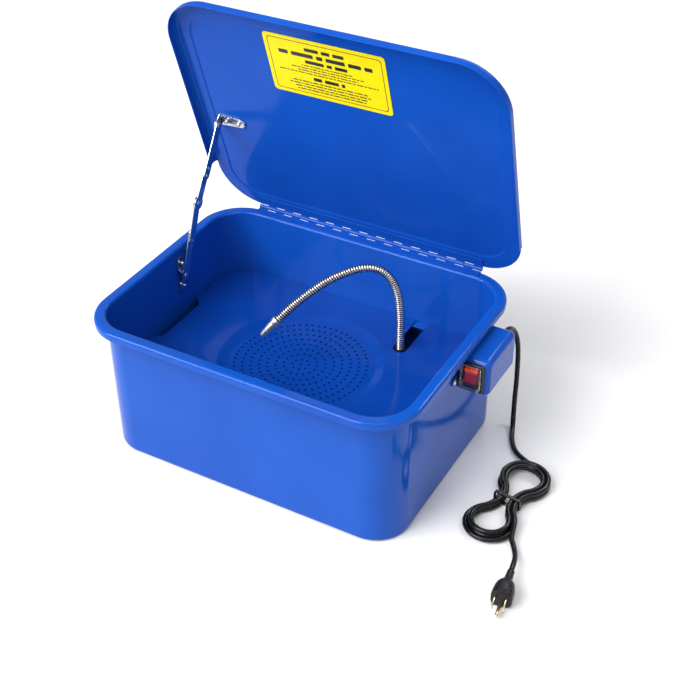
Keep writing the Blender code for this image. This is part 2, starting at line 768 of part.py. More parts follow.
def build_tank_bracket():
    """Bridge-shaped bracket on the left wall, held by two blind rivets."""
    wall = -TANK_HALF_X + SHEET + GAP
    thick = STRIP_THICK
    raised = plane_x(0) - GAP - thick
    middle = STAY_LOW.z
    steps = ((-26, 0), (-10, 0), (-6.5, 1), (6.5, 1), (10, 0), (26, 0))
    near = []
    for height, is_raised in steps:
        x = raised if is_raised else wall
        near.append((x, middle + height * MM))
    outline = near + [(x + thick, z) for x, z in reversed(near)]
    bm = bmesh.new()
    ends = (STAY_LOW.y - BRACKET_HALF_Y, STAY_LOW.y + BRACKET_HALF_Y)
    loft(bm, [[Vector((x, y, z)) for x, z in outline] for y in ends])
    bracket = make("stay_bracket_tank", bm, "zinc")
    holes = [(middle, STAY_PIN / MM + 0.3)]
    holes += [(height, RIVET / MM + 0.3) for height in bracket_rivet_heights()]
    for i, (height, radius) in enumerate(holes):
        at = (wall - 3 * MM, STAY_LOW.y, height)
        combine(bracket, drill(f"bracket_hole_{i}", radius, at, RIGHT, 0, 12))
    for i, height in enumerate(bracket_rivet_heights()):
        at = (-TANK_HALF_X - 1.5 * MM, STAY_LOW.y, height)
        turned(f"tank_bracket_rivet_{i + 1}", RIVET_PROFILE, at, RIGHT, "zinc", 12)


def build_lid_bracket(axis):
    """Angle bracket inside the lid: a riveted foot and an upright ear for the pivot."""
    under = LID_TOP - SHEET + EMBOSS_RISE
    foot_top = under - GAP
    thick = STRIP_THICK
    ear_x = plane_x(2)
    foot_end = -154 * MM
    far = -STAY_TOP_ALONG - 11 * MM
    near = -STAY_TOP_ALONG + 6 * MM
    outline = [
        (ear_x, far),
        (foot_end - 6 * MM, far),
        (foot_end, far + 4 * MM),
        (foot_end, near - 7 * MM),
        (foot_end - 6 * MM, near - 3 * MM),
        (ear_x, near),
    ]
    foot = prism("stay_bracket_lid", outline, "Z", foot_top - thick, foot_top, "zinc", axis)
    ear = [(near, foot_top), (far, foot_top)]
    for i in range(9):
        angle = math.pi * (1.05 + 0.9 * i / 8)
        y = -STAY_TOP_ALONG + EAR_RADIUS * math.cos(angle)
        ear.append((y, -STAY_TOP_DROP + EAR_RADIUS * math.sin(angle)))
    upright = prism("lid_bracket_ear", ear, "X", ear_x, ear_x + thick, "zinc", axis)
    combine(foot, upright, "UNION")
    at = (ear_x, -STAY_TOP_ALONG, -STAY_TOP_DROP)
    combine(foot, drill("lid_bracket_pivot_hole", STAY_PIN / MM + 0.3, at, RIGHT, -3, 5, axis))
    for i, x in enumerate(LID_RIVETS_X):
        at = (x, -LID_RIVET_ALONG, 0)
        combine(foot, drill(f"lid_bracket_hole_{i}", RIVET_HOLE, at, UP, -5, 4.5, axis))
        start = (x, -LID_RIVET_ALONG, LID_TOP + EMBOSS_RISE + 1.5 * MM)
        turned(f"lid_bracket_rivet_{i + 1}", RIVET_PROFILE, start, (0, 0, -1), "zinc", 12, axis)


# ---------------------------------------------------------------- spout


def arch_point(reach, height):
    x = HOSE_X + reach * MM * math.cos(HOSE_HEADING)
    y = HOSE_Y + reach * MM * math.sin(HOSE_HEADING)
    return Vector((x, y, height * MM))


def build_spout():
    """The bendy steel spout in three lengths, with its nozzle and its base coupling."""
    foot = Vector((HOSE_X, HOSE_Y, 0))
    radius = HOSE_RADIUS / MM
    turned("spout_foot", ((radius, FOOT_BOTTOM / MM), (radius, FLEX_BOTTOM / MM)), foot, UP,
           "chrome")
    flex = ((radius, FLEX_BOTTOM / MM + 0.3), (radius, FLEX_TOP / MM - 0.3))
    turned("spout_bend", flex, foot, UP, "chrome")
    route = [arch_point(*point) for point in ARCH_ROUTE]
    tube("spout_arch", smooth_points(route, ARCH_SPACING), HOSE_RADIUS, "chrome")
    tip = arch_point(*NOZZLE_END)
    run = (tip - route[-1]).normalized()
    nozzle = ((6.4, 0), (6.6, 1), (6.6, 7), (5.9, 8), (5.4, 15), (3.6, 29), (2.8, 31.2))
    turned("spout_nozzle", nozzle, route[-1] + run * GAP, run, "chrome", 20)
    wall = ((7.8, 90.3), (7.8, 101), (7.2, 101.6), (5.7, 101.6), (5.7, 92.7), (4, 92.7), (4, 78),
            (6, 78), (6, 90.3))
    turned("spout_coupling", wall, foot, UP, "black_rubber", 20, endless=True)


# ---------------------------------------------------------------- pump


def ring_at(outline, height):
    return [Vector((x, y, height)) for x, y in outline]


def build_pump_housing():
    middle_y = (PUMP_FRONT_Y + PUMP_BACK_Y) / 2
    half_y = (PUMP_BACK_Y - PUMP_FRONT_Y) / 2
    rings = []
    for inset, height in ((1.5, 0), (0, 1.5), (0, 47), (4, 51)):
        flat = rounded(PUMP_HALF_X - inset * MM, half_y - inset * MM, 8 * MM - inset * MM, 4)
        moved = [(HOSE_X + u, middle_y + v) for u, v in flat]
        rings.append(ring_at(moved, PUMP_BOTTOM + height * MM))
    bm = bmesh.new()
    loft(bm, rings)
    housing = make("pump_housing", bm, "pump_plastic")
    centre = Vector((HOSE_X, CHAMBER_FRONT_Y, CHAMBER_Z))
    radius = CHAMBER_RADIUS / MM
    chamber = turned("pump_chamber", ((radius, 0), (radius, 20)), centre, BACK, "zinc", 24)
    combine(housing, chamber, "UNION")
    stub = turned("pump_outlet_stub", ((6, PUMP_TOP / MM - 5), (6, 72), (5.2, 73)),
                  (HOSE_X, HOSE_Y, 0), UP, "zinc", 16)
    combine(housing, stub, "UNION")
    hollow = ((15, -2), (15, 13), (1.9, 13), (1.9, 36))
    combine(housing, turned("pump_hollow", hollow, centre, BACK, "zinc", 20))
    combine(housing, drill("pump_outlet_bore", 3.5, (HOSE_X, HOSE_Y, 0), UP, 56, 80))


def build_impeller():
    """Four-bladed rotor on its shaft, turning about the Y axis inside the chamber."""
    outline = []
    for blade in range(4):
        middle = math.pi / 2 * blade
        for radius, swing in ((4.5, -0.42), (13, -0.09), (13, 0.09), (4.5, 0.42)):
            angle = middle + swing
            x = HOSE_X + radius * MM * math.cos(angle)
            outline.append((x, CHAMBER_Z + radius * MM * math.sin(angle)))
    front = CHAMBER_FRONT_Y + 2.5 * MM
    rotor = prism("pump_impeller", outline, "Y", front, front + 9 * MM, "impeller_plastic")
    start = Vector((HOSE_X, front + 2 * MM, CHAMBER_Z))
    combine(rotor, drill("impeller_bore", 1.8, start, BACK, 0, 12))
    turned("pump_shaft", ((1.5, 0.3), (1.5, 28)), start, BACK, "zinc", 12)


def build_intake_cover():
    """Slotted cap over the impeller chamber."""
    front = CHAMBER_FRONT_Y - GAP
    outline = [(HOSE_X + u, CHAMBER_Z + v) for u, v in circle(CHAMBER_RADIUS, 24)]
    cover = prism("pump_intake_cover", outline, "Y", front - 2.5 * MM, front, "pump_plastic")
    bm = bmesh.new()
    for i in range(5):
        x = HOSE_X + (i - 2) * 5 * MM
        flat = [(x - 1.1 * MM, -9 * MM), (x + 1.1 * MM, -9 * MM), (x + 1.1 * MM, 9 * MM),
                (x - 1.1 * MM, 9 * MM)]
        ends = (front - 4 * MM, front + 2 * MM)
        loft(bm, [[Vector((u, y, CHAMBER_Z + v)) for u, v in flat] for y in ends])
    combine(cover, make("intake_slots", bm, "zinc"))


def build_pump_feet():
    number = 1
    floor = SHEET / MM + 0.3
    top = PUMP_BOTTOM / MM - 0.3
    for side_x in (-1, 1):
        for y in (PUMP_FRONT_Y + 11 * MM, PUMP_BACK_Y - 11 * MM):
            at = (HOSE_X + side_x * 14 * MM, y, 0)
            profile = ((7, floor), (6.2, floor + 1.5), (3.5, floor + 3.5), (3.5, top))
            turned(f"pump_foot_{number}", profile, at, UP, "black_rubber", 14)
            number += 1


def build_pump():
    build_pump_housing()
    build_impeller()
    build_intake_cover()
    build_pump_feet()
    foot = (HOSE_X, HOSE_Y, 0)
    outer = TUBE_OUTER / MM
    inner = TUBE_INNER / MM
    turned("outlet_tube", ((outer, 61), (outer, 90), (inner, 90), (inner, 61)), foot, UP,
           "clear_vinyl", 18, endless=True)
    turned("outlet_tube_clamp", ((9.3, 64), (9.3, 70), (8.3, 70), (8.3, 64)), foot, UP, "zinc", 18,
           endless=True)
    lead = smooth_points(in_metres(LEAD_ROUTE), 5.5 * MM)
    tube("pump_lead", lead, LEAD_RADIUS, "black_rubber", 2)
    at = (TANK_HALF_X, LEAD_HOLE_Y, LEAD_HOLE_Z)
    ring = ((6.5, -3), (6.5, -1.5), (4.5, -1.5), (4.5, 0.3), (6.5, 0.3), (6.5, 1.8), (3.3, 1.8),
            (3.3, -3))
    turned("pump_lead_grommet", ring, at, RIGHT, "black_rubber", 16, endless=True)


# ---------------------------------------------------------------- switch box


def ear_screw_places():
    return (BOX_FRONT_Y - EAR_SCREW, BOX_BACK_Y + EAR_SCREW)


def box_ring(inset, x):
    half_y = (BOX_BACK_Y - BOX_FRONT_Y) / 2 - inset
    half_z = (BOX_TOP_Z - BOX_BOTTOM_Z) / 2 - inset
    middle_y = (BOX_BACK_Y + BOX_FRONT_Y) / 2
    middle_z = (BOX_TOP_Z + BOX_BOTTOM_Z) / 2
    outline = rounded(half_y, half_z, BOX_CORNER - inset, 4)
    return [Vector((x, middle_y + u, middle_z + v)) for u, v in outline]


def build_ears(wall):
    """Two round-ended lugs that the box's screws pass through."""
    bm = bmesh.new()
    for side, edge in ((-1, BOX_FRONT_Y), (1, BOX_BACK_Y)):
        outline = [(edge - side * SHEET, EAR_Z - EAR_HALF)]
        for i in range(7):
            angle = -math.pi / 2 + math.pi * i / 6
            y = edge + side * (EAR_SCREW + EAR_HALF * math.cos(angle) - 1 * MM)
            outline.append((y, EAR_Z + EAR_HALF * math.sin(angle)))
        outline.append((edge - side * SHEET, EAR_Z + EAR_HALF))
        loft(bm, [[Vector((x, y, z)) for y, z in outline] for x in (wall, wall + SHEET)])
    return make("box_ears", bm, "zinc")


def switch_ring(half_x, half_z, radius, y):
    """Ring about the switch, with its half sizes and its corner radius in mm."""
    outline = rounded(half_x * MM, half_z * MM, radius * MM, 3)
    return [Vector((SWITCH_X + u, y, SWITCH_Z + v)) for u, v in outline]


def build_box():
    """Open-backed cover over the wiring, screwed to the right wall."""
    wall = TANK_HALF_X + GAP
    inside = BOX_BEND - SHEET
    bend_x = BOX_OUT_X - BOX_BEND
    outer = arc(-BOX_BEND, bend_x, BOX_BEND, 0, 90, 3)
    inner = arc(-BOX_BEND, bend_x, inside, 90, 0, 3)
    rings = [(-out, x) for out, x in inner] + [(SHEET, wall), (0, wall)]
    rings += [(-out, x) for out, x in outer]
    bm = bmesh.new()
    loft(bm, [box_ring(*ring) for ring in rings])
    cover = make("switch_box_cover", bm, "blue_enamel")
    combine(cover, build_ears(wall), "UNION")
    bm = bmesh.new()
    loft(bm, [switch_ring(13.3, 15.8, 1.5, y) for y in (0, BOX_FRONT_Y + 5 * MM)])
    combine(cover, make("switch_cutout", bm, "zinc"))
    at = (CORD_X, BOX_BACK_Y - 8 * MM, CORD_Z)
    hole = ((RELIEF_HOLE, 0), (RELIEF_HOLE, 20))
    combine(cover, turned("relief_hole", hole, at, BACK, "zinc", 16))
    for i, y in enumerate(ear_screw_places()):
        at = (TANK_HALF_X - 3 * MM, y, EAR_Z)
        combine(cover, drill(f"ear_hole_{i}", SCREW_HOLE, at, RIGHT))
        at = (wall + SHEET + GAP, y, EAR_Z)
        screw = ((1.4, -9.5), (2, -8.5), (2, 0), (3.9, 0), (3.7, 1.6), (2.6, 2.4))
        turned(f"box_screw_{i + 1}", screw, at, RIGHT, "zinc", 14)


def build_switch():
    """Rocker switch: body and bezel in one, red rocker, and the clear splash boot."""
    back = BOX_FRONT_Y - GAP
    body = [
        switch_ring(9.8, 13.3, 1, 24 * MM),
        switch_ring(9.8, 13.3, 1, BEZEL_FRONT_Y),
        switch_ring(BEZEL_HALF_X - 1, BEZEL_HALF_Z - 1, 2, BEZEL_FRONT_Y),
        switch_ring(BEZEL_HALF_X, BEZEL_HALF_Z, 2.5, BEZEL_FRONT_Y + 1 * MM),
        switch_ring(BEZEL_HALF_X, BEZEL_HALF_Z, 2.5, back),
        switch_ring(13, 15.5, 1.2, back),
        switch_ring(13, 15.5, 1.2, 37 * MM),
    ]
    bm = bmesh.new()
    loft(bm, body)
    make("switch_body", bm, "black_plastic")
    boot = [
        switch_ring(11.5, 15, 2, 3.6 * MM),
        switch_ring(12.5, 16, 3, 4.6 * MM),
        switch_ring(12.8, 16.3, 3, BEZEL_FRONT_Y - GAP),
        switch_ring(11.8, 15.3, 2, BEZEL_FRONT_Y - GAP),
        switch_ring(11.5, 15, 2, 5.3 * MM),
        switch_ring(10.8, 14.3, 1.5, 4.6 * MM),
    ]
    bm = bmesh.new()
    loft(bm, boot)
    make("switch_boot", bm, "clear_vinyl")
    build_rocker()


def build_rocker():
    """Rocker with its two faces sloping to the middle; its origin is on its pivot."""
    outline = ((-8.6, 10.2), (-6.2, 0), (-8.6, -10.2), (-2, -10.6), (4, -5), (4, 5), (-2, 10.6))
    bm = bmesh.new()
    ends = (-ROCKER_HALF_X, ROCKER_HALF_X)
    loft(bm, [[Vector((x, y * MM, z * MM)) for y, z in outline] for x in ends])
    rocker = make("switch_rocker", bm, "red_lens")
    rocker.location = (SWITCH_X, ROCKER_PIVOT_Y, SWITCH_Z)
    rocker.rotation_euler = (-ROCKER_TILT, 0, 0)


def build_wiring():
    """What the box holds, and the gland that the mains cord leaves by."""
    block("terminal_block", (214.8 * MM, 42 * MM, 139 * MM), (228 * MM, 62 * MM, 158 * MM),
          "black_plastic")
    wall_back = BOX_BACK_Y / MM
    profile = ((3.6, wall_back - 5), (7, wall_back - 4.5), (7, wall_back - 1.5),
               (5.2, wall_back - 1.4), (5.2, wall_back + 0.2), (7.5, wall_back + 0.3),
               (7.2, wall_back + 3), (5.4, wall_back + 5), (4.2, wall_back + 16),
               (3.9, RELIEF_END_Y / MM))
    turned("cord_strain_relief", profile, (CORD_X, 0, CORD_Z), BACK, "black_rubber", 16)


# ---------------------------------------------------------------- mains cord


def hank_point(turns, outset):
    """Point of the tied hank's pinched loop, counted in turns from one side of its waist.

    Each end is a round lobe, and sweeping bends bring the runs together at the waist."""
    spread = math.acos((HANK_WAIST + HANK_SWEEP) / (HANK_LOBE + HANK_SWEEP))
    lobe_y = (HANK_LOBE + HANK_SWEEP) * math.sin(spread)
    sweep = HANK_SWEEP * spread
    lobe = HANK_LOBE * (math.pi + 2 * spread)
    half = 2 * sweep + lobe
    place = turns % 1 * 2
    flip = -1 if place >= 1 else 1
    run = place % 1 * half
    bend = HANK_SWEEP - outset
    centre = HANK_WAIST + HANK_SWEEP
    if run < sweep:
        angle = run / HANK_SWEEP
        x, y = centre - bend * math.cos(angle), bend * math.sin(angle)
    elif run > half - sweep:
        angle = (half - run) / HANK_SWEEP
        x, y = bend * math.cos(angle) - centre, bend * math.sin(angle)
    else:
        angle = (run - sweep) / HANK_LOBE - spread
        radius = HANK_LOBE + outset
        x, y = radius * math.cos(angle), lobe_y + radius * math.sin(angle)
    local = Vector((-x * flip, y * flip, 0))
    return HANK_CENTRE + Matrix.Rotation(HANK_TURN, 3, "Z") @ local


def build_hank():
    """Outer shape of the tied hank, and the tie around its waist."""
    steps = 64
    outline = [hank_point(i / steps, HANK_OUTSET) for i in range(steps)]
    bm = bmesh.new()
    rings = []
    for height in (HANK_BOTTOM, HANK_BOTTOM + HANK_HEIGHT):
        rings.append([Vector((point.x, point.y, height)) for point in outline])
    loft(bm, rings)
    make("cord_hank", bm, "black_rubber")
    half_x = HANK_WAIST + HANK_OUTSET + GAP
    thick = 1.1 * MM
    low = HANK_BOTTOM - GAP
    high = HANK_BOTTOM + HANK_HEIGHT + GAP
    middle = (low + high) / 2
    half_z = (high - low) / 2
    rings = []
    for outset, y in ((0, -2.5), (0, 2.5), (thick, 2.5), (thick, -2.5)):
        flat = rounded(half_x + outset, half_z + outset, 0.5 * MM + outset, 3)
        rings.append([Vector((u, y * MM, middle + v)) for u, v in flat])
    bm = bmesh.new()
    loft(bm, rings, endless=True)
    tie = make("cord_tie", bm, "black_plastic")
    tie.location = HANK_CENTRE
    tie.rotation_euler = (0, 0, HANK_TURN)


def build_plug():
    """Moulded three-pin plug lying on the surface: body, two flat blades and a ground pin."""
    place = Matrix.Translation(PLUG_START) @ Matrix.Rotation(PLUG_HEADING, 4, "Z")
    body = ((4, 4, 3.9, 0), (4.6, 4.6, 4.5, 8), (5.6, 5.6, 5, 16), (9.5, 9.5, 7, 22),
            (12, 11.4, 8, 30), (12.2, 11.8, 8, 44), (11.4, 11, 7.4, 46))
    rings = []
    for half_y, half_z, radius, along in body:
        flat = rounded(half_y * MM, half_z * MM, radius * MM, 4)
        rings.append([place @ Vector((along * MM, u, v)) for u, v in flat])
    bm = bmesh.new()
    loft(bm, rings)
    make("plug_body", bm, "black_rubber")
    for name, y in (("plug_blade_left", BLADE_SPREAD), ("plug_blade_right", -BLADE_SPREAD)):
        bm = bmesh.new()
        rings = []
        for along, shrink in ((46.3, 0), (61.5, 0), (63, 0.3)):
            flat = rounded((0.75 - shrink) * MM, (3.15 - shrink) * MM, 0.3 * MM, 1)
            rings.append([place @ Vector((along * MM, y + u, 3.6 * MM + v)) for u, v in flat])
        loft(bm, rings)
        make(name, bm, "brass")
    start = place @ Vector((46.3 * MM, 0, -6.4 * MM))
    run = place.to_3x3() @ Vector((1, 0, 0))
    pin = ((2.4, 0), (2.4, 18), (1.4, 20.5))
    turned("plug_ground_pin", pin, start, run, "brass", 12)


def build_cord():
    drop = smooth_points(in_metres(DROP_ROUTE), CORD_SPACING)
    tube("cord_drop", drop, CORD_RADIUS, "black_rubber", 2)
    tail = smooth_points(in_metres(TAIL_ROUTE), CORD_SPACING)
    tube("cord_tail", tail, CORD_RADIUS, "black_rubber", 2)
    build_hank()
    build_plug()


def main():
    clear_scene()
    level_axis = empty("hinge_axis", (0, HINGE_Y, HINGE_Z))
    lid_axis = empty("lid_axis", (0, HINGE_Y, HINGE_Z), -LID_OPEN)
    tray_lift = empty("tray_lift", (0, 0, 0))
    build_tank()
    build_ledge("tray_ledge_front", -1)
    build_ledge("tray_ledge_back", 1)
    build_tray(tray_lift)
    build_lid(lid_axis)
    build_hinge(level_axis, lid_axis)
    build_label(lid_axis)
    build_stay()
    build_tank_bracket()
    build_lid_bracket(lid_axis)
    build_spout()
    build_pump()
    build_box()
    build_switch()
    build_wiring()
    build_cord()


main()
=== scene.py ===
"""Looks of the bench-top parts washer tank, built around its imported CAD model."""
from bisect import bisect_left
from itertools import accumulate
import json
from math import acos, asin, atan2, cos, pi, radians, sin, sqrt

import bmesh
import bpy
from mathutils import Matrix, Vector


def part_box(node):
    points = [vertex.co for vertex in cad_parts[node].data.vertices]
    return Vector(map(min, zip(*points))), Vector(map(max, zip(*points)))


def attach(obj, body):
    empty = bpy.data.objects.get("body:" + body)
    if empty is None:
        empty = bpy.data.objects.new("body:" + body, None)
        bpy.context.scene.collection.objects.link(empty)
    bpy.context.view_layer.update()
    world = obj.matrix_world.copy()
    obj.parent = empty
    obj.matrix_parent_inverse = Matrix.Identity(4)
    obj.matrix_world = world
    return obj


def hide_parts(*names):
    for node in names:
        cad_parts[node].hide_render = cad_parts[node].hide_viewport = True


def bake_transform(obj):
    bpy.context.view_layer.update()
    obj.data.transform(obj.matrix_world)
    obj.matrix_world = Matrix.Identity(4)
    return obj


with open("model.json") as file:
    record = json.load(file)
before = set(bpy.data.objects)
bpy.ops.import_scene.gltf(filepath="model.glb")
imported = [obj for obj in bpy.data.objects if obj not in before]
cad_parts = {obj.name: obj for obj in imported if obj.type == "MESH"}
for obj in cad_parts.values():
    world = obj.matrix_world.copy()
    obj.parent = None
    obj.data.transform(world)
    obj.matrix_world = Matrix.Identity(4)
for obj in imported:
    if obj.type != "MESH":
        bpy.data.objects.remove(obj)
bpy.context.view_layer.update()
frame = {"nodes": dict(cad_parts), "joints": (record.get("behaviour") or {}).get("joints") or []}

MM = 0.001
SHEET = 1.2 * MM
CURVE_STEPS = 12
UP = (0, 0, 1)
RIGHT = (1, 0, 0)
BACK = (0, 1, 0)
HOSE_X = 92.5 * MM
HOSE_Y = 85.5 * MM

# ---- shapes


def add_object(name, data):
    thing = bpy.data.objects.new(name, data)
    bpy.context.scene.collection.objects.link(thing)
    return thing


def rounded(half_u, half_v, radius, steps):
    """Round-cornered rectangle, as (u, v) pairs about its middle."""
    points = []
    for corner, (side_u, side_v) in enumerate(((1, 1), (-1, 1), (-1, -1), (1, -1))):
        for step in range(steps + 1):
            angle = pi / 2 * (corner + step / steps)
            u = side_u * (half_u - radius) + radius * cos(angle)
            v = side_v * (half_v - radius) + radius * sin(angle)
            points.append((u, v))
    return points


def circle(radius, sides):
    angles = (2 * pi * i / sides for i in range(sides))
    return [(radius * cos(a), radius * sin(a)) for a in angles]


def arc(centre_out, centre_up, radius, first, last, steps):
    """An arc's (out, up) points, its angles in degrees from outward."""
    points = []
    for i in range(steps + 1):
        angle = radians(first + (last - first) * i / steps)
        points.append((centre_out + radius * cos(angle), centre_up + radius * sin(angle)))
    return points


def loft(bm, rings, endless=False):
    """Skin a row of equal rings, and cap its ends unless it is endless."""
    rows = [[bm.verts.new(point) for point in ring] for ring in rings]
    pairs = list(zip(rows, rows[1:]))
    if endless:
        pairs.append((rows[-1], rows[0]))
    for row, following in pairs:
        for i, vert in enumerate(row):
            j = (i + 1) % len(row)
            bm.faces.new((vert, row[j], following[j], following[i]))
    if not endless:
        bm.faces.new(rows[0])
        bm.faces.new(rows[-1])


def resmooth(thing, angle):
    thing.data.shade_smooth()
    thing.data.set_sharp_from_angle(angle=radians(angle))


def make(name, bm, material, smooth=35):
    """Turn a bmesh into an object with its round faces smooth."""
    bmesh.ops.recalc_face_normals(bm, faces=bm.faces)
    mesh = bpy.data.meshes.new(name)
    bm.to_mesh(mesh)
    bm.free()
    mesh.materials.append(material)
    thing = add_object(name, mesh)
    resmooth(thing, smooth)
    return thing


def across_x(outline, places, turn=Matrix()):
    """Rings of one (y, z) outline at places along X."""
    return [[turn @ Vector((x, y, z)) for y, z in outline] for x in places]


def across_z(outline, heights, turn=Matrix()):
    """Rings of one (x, y) outline at heights."""
    return [[turn @ Vector((x, y, z)) for x, y in outline] for z in heights]


def lofted(name, rings, material, smooth=35, endless=False):
    """A piece skinned over one row of rings."""
    bm = bmesh.new()
    loft(bm, rings, endless)
    return make(name, bm, material, smooth)


def show(piece, body, slot, *nodes):
    """Give a piece its body and hide the CAD nodes it stands for. The slot is not used."""
    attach(piece, body)
    if nodes:
        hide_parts(*nodes)


def aim(origin, direction):
    """Matrix that puts local +Z along a direction, at an origin."""
    turn = Vector(direction).to_track_quat("Z", "Y").to_matrix().to_4x4()
    return Matrix.Translation(origin) @ turn


def turned(name, profile, origin, direction, material, sides=48, endless=False, smooth=35):
    """A turned piece, from (radius, height) pairs in mm along its axis."""
    place = aim(Vector(origin), direction)
    rings = []
    for radius, height in profile:
        rings += across_z(circle(radius * MM, sides), [height * MM], place)
    return lofted(name, rings, material, smooth, endless)


def bevel(thing, width, segments=3, angle=30):
    """Round a piece's hard edges, so that they catch the light."""
    weld = thing.modifiers.new("weld", "WELD")
    weld.merge_threshold = 0.00001
    step = thing.modifiers.new("edges", "BEVEL")
    step.width = width
    step.segments = segments
    step.limit_method = "ANGLE"
    step.angle_limit = radians(angle)


def cut(target, tool, operation="DIFFERENCE"):
    """Cut a tool out of a piece, or join it on, and remove the tool."""
    step = target.modifiers.new("cut", "BOOLEAN")
    step.operation = operation
    step.object = tool
    step.solver = "EXACT"
    depsgraph = bpy.context.evaluated_depsgraph_get()
    mesh = bpy.data.meshes.new_from_object(target.evaluated_get(depsgraph))
    target.modifiers.clear()
    old = target.data
    target.data = mesh
    bpy.data.meshes.remove(old)
    bpy.data.objects.remove(tool, do_unlink=True)


def flatten(thing):
    """Keep wide flat faces flat where they run into a bend."""
    step = thing.modifiers.new("flat_faces", "WEIGHTED_NORMAL")
    step.keep_sharp = True
    step.weight = 100


def move(thing, place):
    thing.data.transform(place)
    return thing


def upright(outline, low, high):
    """A cutter of one outline between two heights."""
    return lofted("cutter", across_z(outline, (low, high)), BLUE)


def drill(target, holes, direction, reach=10, sides=32):
    """Drill holes, as (x, y, z, radius in mm), along one direction."""
    bm = bmesh.new()
    for *at, radius in holes:
        ends = (-reach * MM, reach * MM)
        loft(bm, across_z(circle(radius * MM, sides), ends, aim(Vector(at), direction)))
    cut(target, make("drill", bm, BLUE))
    resmooth(target, 50)


def smooth_points(route, spacing):
    """Evenly spaced points on a smooth curve through a route."""
    ends = [2 * route[0] - route[1], *route, 2 * route[-1] - route[-2]]
    dense = []
    for before, start, end, after in zip(ends, ends[1:], ends[2:], ends[3:]):
        bend = 2 * before - 5 * start + 4 * end - after
        twist = 3 * start - before - 3 * end + after
        for t in (step / CURVE_STEPS for step in range(CURVE_STEPS)):
            dense.append(start + 0.5 * t * (end - before + t * (bend + t * twist)))
    dense.append(route[-1])
    lengths = [0.0, *accumulate((b - a).length for a, b in zip(dense, dense[1:]))]
    count = max(2, round(lengths[-1] / spacing))
    points = []
    for i in range(count + 1):
        wanted = lengths[-1] * i / count
        place = min(len(lengths) - 2, max(0, bisect_left(lengths, wanted) - 1))
        share = (wanted - lengths[place]) / (lengths[place + 1] - lengths[place])
        points.append(dense[place].lerp(dense[place + 1], min(1.0, share)))
    return points


# ---- materials


class Tree:
    """Short-hand for building one material's nodes."""

    def __init__(self, name):
        self.material = bpy.data.materials.new(name)
        self.material.use_nodes = True
        self.nodes = self.material.node_tree.nodes
        self.links = self.material.node_tree.links
        self.shader = self.nodes["Principled BSDF"]
        self.coords = self.nodes.new("ShaderNodeTexCoord").outputs["Object"]

    def set(self, node=None, **values):
        """Set sockets by name, on the shader if no node is given."""
        for name, value in values.items():
            (node or self.shader).inputs[name.replace("_", " ")].default_value = value

    def add(self, kind, **values):
        node = self.nodes.new("ShaderNode" + kind)
        self.set(node, **values)
        return node

    def link(self, start, end):
        self.links.new(start, end)

    def noise(self, scale, detail=3.0, rough=0.5, stretch=(1, 1, 1)):
        mapping = self.add("Mapping", Scale=stretch)
        self.link(self.coords, mapping.inputs["Vector"])
        node = self.add("TexNoise", Scale=scale, Detail=detail, Roughness=rough)
        self.link(mapping.outputs["Vector"], node.inputs["Vector"])
        return node.outputs["Fac"]

    def spots(self, scale):
        node = self.add("TexVoronoi", Scale=scale)
        self.link(self.coords, node.inputs["Vector"])
        return node.outputs["Distance"]

    def ramp(self, value, low, high, to_low=0.0, to_high=1.0):
        node = self.add("MapRange", From_Min=low, From_Max=high, To_Min=to_low, To_Max=to_high)
        self.link(value, node.inputs["Value"])
        return node.outputs["Result"]

    def mix(self, amount, first, second):
        node = self.add("Mix")
        node.data_type = "RGBA"
        self.link(amount, node.inputs["Factor"])
        for socket, colour in ((node.inputs["A"], first), (node.inputs["B"], second)):
            if isinstance(colour, bpy.types.NodeSocket):
                self.link(colour, socket)
            else:
                socket.default_value = (*colour, 1)
        return node.outputs["Result"]

    def colour(self, value):
        self.link(value, self.shader.inputs["Base Color"])

    def rough(self, noise, low, high):
        """Roughness that drifts between two values with a noise."""
        self.link(self.ramp(noise, 0.3, 0.7, low, high), self.shader.inputs["Roughness"])

    def bump(self, value, strength, distance):
        node = self.add("Bump", Strength=strength, Distance=distance)
        self.link(value, node.inputs["Height"])
        self.link(node.outputs["Normal"], self.shader.inputs["Normal"])


def enamel(name, deep, bright, gloss):
    """Gloss enamel with orange peel, faint clouds and fine wipe marks."""
    tree = Tree(name)
    body = tree.mix(tree.ramp(tree.noise(9, 4), 0.35, 0.65), deep, bright)
    fleck = tree.ramp(tree.noise(420, 2), 0.66, 0.74, 0.0, 0.25)
    tree.colour(tree.mix(fleck, body, tuple(0.7 * c for c in deep)))
    tree.rough(tree.noise(30, 5, 0.6, (1, 1, 0.25)), 0.07, 0.13)
    tree.bump(tree.noise(150, 2), 0.05, 0.0004)
    tree.set(Specular_IOR_Level=gloss, IOR=1.5)
    return tree.material


def plated(name, dull, bright, rough, streak=(1, 1, 1)):
    """Plated or bare metal with fine scratches and an uneven tint."""
    tree = Tree(name)
    tree.colour(tree.mix(tree.ramp(tree.noise(60, 5), 0.3, 0.7), dull, bright))
    tree.rough(tree.noise(140, 6, 0.7, streak), rough * 0.65, rough * 1.35)
    tree.bump(tree.noise(900, 3, 0.6, streak), 0.04, 0.0001)
    tree.set(Metallic=1.0)
    return tree.material


def moulded(name, dark, light, rough, grain=0.25, scale=1600, **extra):
    """Moulded rubber or plastic with a fine grain."""
    tree = Tree(name)
    tree.colour(tree.mix(tree.ramp(tree.noise(70, 4), 0.35, 0.7), dark, light))
    tree.rough(tree.noise(180, 4), rough - 0.08, rough + 0.1)
    tree.bump(tree.spots(scale), grain, 0.00008)
    tree.set(**extra)
    return tree.material


